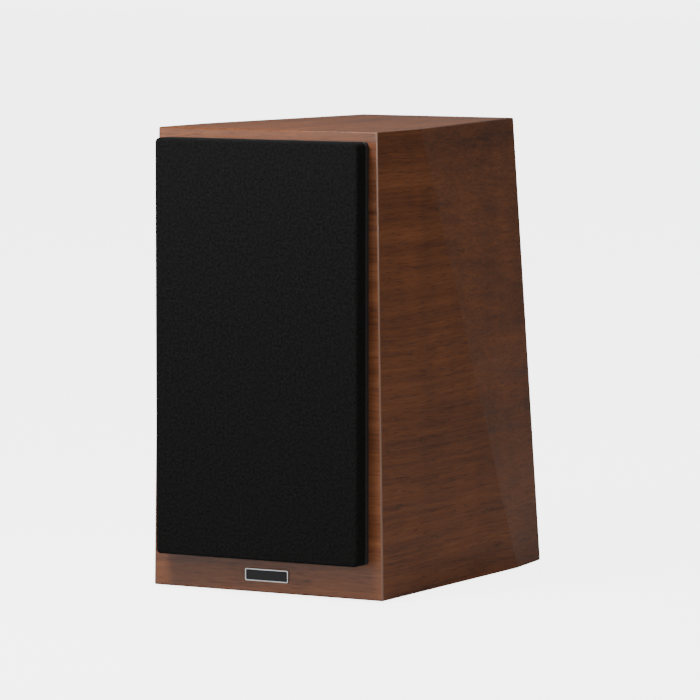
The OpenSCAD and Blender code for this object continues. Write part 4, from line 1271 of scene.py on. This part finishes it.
# %% Wind the coils and finish the crossover
for node, hole, wire_r in [("woofer_inductor", 0.45, 0.6), ("tweeter_inductor", 0.45, 0.4)]:
    low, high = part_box(node)
    outer_r = (high.x - low.x) / 2
    wound_piece = grow(node + "_wound", coil_group,
                       {"Centre": ((low.x + high.x) / 2, (low.y + high.y) / 2, low.z),
                        "Inner Radius": outer_r * hole, "Outer Radius": outer_r, "Height": high.z - low.z,
                        "Wire": wire_r * MM, "Finish": finish["copper"]}, finish["copper"])
    wound_piece.data.shade_smooth()
    fit(wound_piece, node)
refined("crossover_board", finish["solder_mask"], 0.2)
refined("standoffs", finish["zinc"], 0.2)
refined("capacitors", finish["film"], 0.8, segments=3)
refined("resistors", finish["cement"], 0.4)
refined("input_leads", finish["red_lead"], smooth_angle=60)
refined("woofer_leads", finish["black_lead"], smooth_angle=60)
refined("tweeter_leads", finish["black_lead"], smooth_angle=60)

# %% [markdown]
# ## Wadding
# Loose fibre lines the side walls and soaks up sound inside the box. It is a soft mat with no sharp edge,
# so the CAD solid is turned into small even voxels, smoothed, and dented by gentle noise. The noise only
# pushes inwards, so the mat stays in its own space.

# %% Tease the wadding
MAT_VOXEL = 4 * MM
LEAST_DENT, LUMP_DEPTH, LUMPS_A_METRE = 0.3, 1.6, 60
for side in ["left", "right"]:
    node = "wadding_" + side
    mat = as_piece(node + "_teased", frame["nodes"][node].data.copy(), finish["fibre"])
    remesh = mat.modifiers.new("voxels", "REMESH")
    remesh.mode, remesh.voxel_size, remesh.use_smooth_shade = "VOXEL", MAT_VOXEL, True
    relax = mat.modifiers.new("relax", "SMOOTH")
    relax.factor, relax.iterations = 0.5, 6
    mesh = bpy.data.meshes.new_from_object(mat.evaluated_get(bpy.context.evaluated_depsgraph_get()))
    mat.modifiers.clear()
    mat.data = mesh
    for v in mesh.vertices:
        lump = noise.noise(v.co * LUMPS_A_METRE) * 0.5 + 0.5
        v.co -= v.normal * (LEAST_DENT + LUMP_DEPTH * lump) * MM
    mesh.shade_smooth()
    fit(mat, node)
    print(mat.name, "faces:", len(mesh.polygons))

# %% [markdown]
# ## Floor, light and camera
# The speaker stands on a plain pale floor. Wide lamps give gentle highlights, as in a product studio: a
# key just above the front, two more from the front, one from each side, one from behind and one from above.
# Floor and backdrop glow for the camera only, so they look bright without lighting the speaker, and a weak
# even light fills the shadows. The camera looks from the front right, a little above the speaker.

# %% The floor
floor_mesh = bpy.data.meshes.new("floor")
FLOOR = 14.0
floor_corners = [(-FLOOR, -FLOOR, 0), (FLOOR, -FLOOR, 0), (FLOOR, FLOOR, 0), (-FLOOR, FLOOR, 0)]
floor_mesh.from_pydata(floor_corners, [], [(0, 1, 2, 3)])
paper, tree, shader, place = start_finish("studio_paper")
PAPER_GLOW = 4.6
speckle = tree.noise(place, 300.0)
paper_grey = tree.ramp(speckle, (0.3, (0.44, 0.44, 0.44)), (0.7, (0.46, 0.46, 0.46)))
tree.feed(shader.inputs["Base Color"], paper_grey)
set_shader(shader, Roughness=0.9, Specular_IOR_Level=0.1, Emission_Color=(1, 1, 1, 1))
seen_directly = tree.add("ShaderNodeLightPath").outputs["Is Camera Ray"]
tree.feed(shader.inputs["Emission Strength"], tree.math("MULTIPLY", seen_directly, PAPER_GLOW))
floor = as_piece("floor", floor_mesh, paper)

BACKDROP, SOFT_AIR = 4.8, 0.20
world = bpy.data.worlds.new("studio_air")
bpy.context.scene.world = world
world.use_nodes = True
air = Tree(world.node_tree)
seen_directly = air.add("ShaderNodeLightPath").outputs["Is Camera Ray"]
backdrop = air.add("ShaderNodeBackground", {"Color": (1, 1, 1, 1), "Strength": BACKDROP})
soft_air = air.add("ShaderNodeBackground", {"Color": (1, 1, 1, 1), "Strength": SOFT_AIR})
both = air.add("ShaderNodeMixShader", {0: seen_directly, 1: soft_air.outputs[0], 2: backdrop.outputs[0]})
air.feed(world.node_tree.nodes["World Output"].inputs["Surface"], both.outputs[0])


def lamp(name, where, aim, size, power):
    light = bpy.data.lights.new(name, "AREA")
    light.shape, light.size, light.energy = "DISK", size, power
    holder = bpy.data.objects.new(name, light)
    bpy.context.scene.collection.objects.link(holder)
    holder.location = where
    holder.rotation_euler = (Vector(aim) - Vector(where)).to_track_quat("-Z", "Y").to_euler()
    holder.visible_camera = False


body_middle = Vector(((cad_bounds[0][i] + cad_bounds[1][i]) / 2 for i in range(3)))
lamp("key", (-0.1, -0.55, 0.72), (0, -0.12, 0.26), 0.35, 11)
lamp("side_fill", (2.0, -1.1, 0.8), body_middle, 1.0, 20)
lamp("front_fill", (0.4, -2.4, 1.2), body_middle, 1.2, 8)
lamp("front_sheen", (-1.5, -2.55, 0.35), body_middle, 1.1, 20)
lamp("far_fill", (-2.2, 0.2, 1.0), body_middle, 1.6, 20)
lamp("back_fill", (-0.3, 2.0, 2.2), body_middle, 1.4, 20)
lamp("top_light", (0.0, 0.3, 2.8), body_middle, 2.6, 20)
print("lamps placed")

# %% The camera
camera = bpy.data.objects.new("camera", bpy.data.cameras.new("camera"))
bpy.context.scene.collection.objects.link(camera)
camera.location = (1.64, -2.94, 0.45)
camera.rotation_euler = (body_middle - camera.location).to_track_quat("-Z", "Y").to_euler()
camera.data.sensor_width, camera.data.lens = 36.0, 262.0
camera.data.clip_end = 100.0
bpy.context.scene.camera = camera

# %% [markdown]
# ## The CAD model's size
# The visual model has to keep the CAD model's size, so the CAD box is printed in millimetres.

# %% Print the CAD size
print("cad", [[round(x / MM, 1) for x in c] for c in cad_bounds])
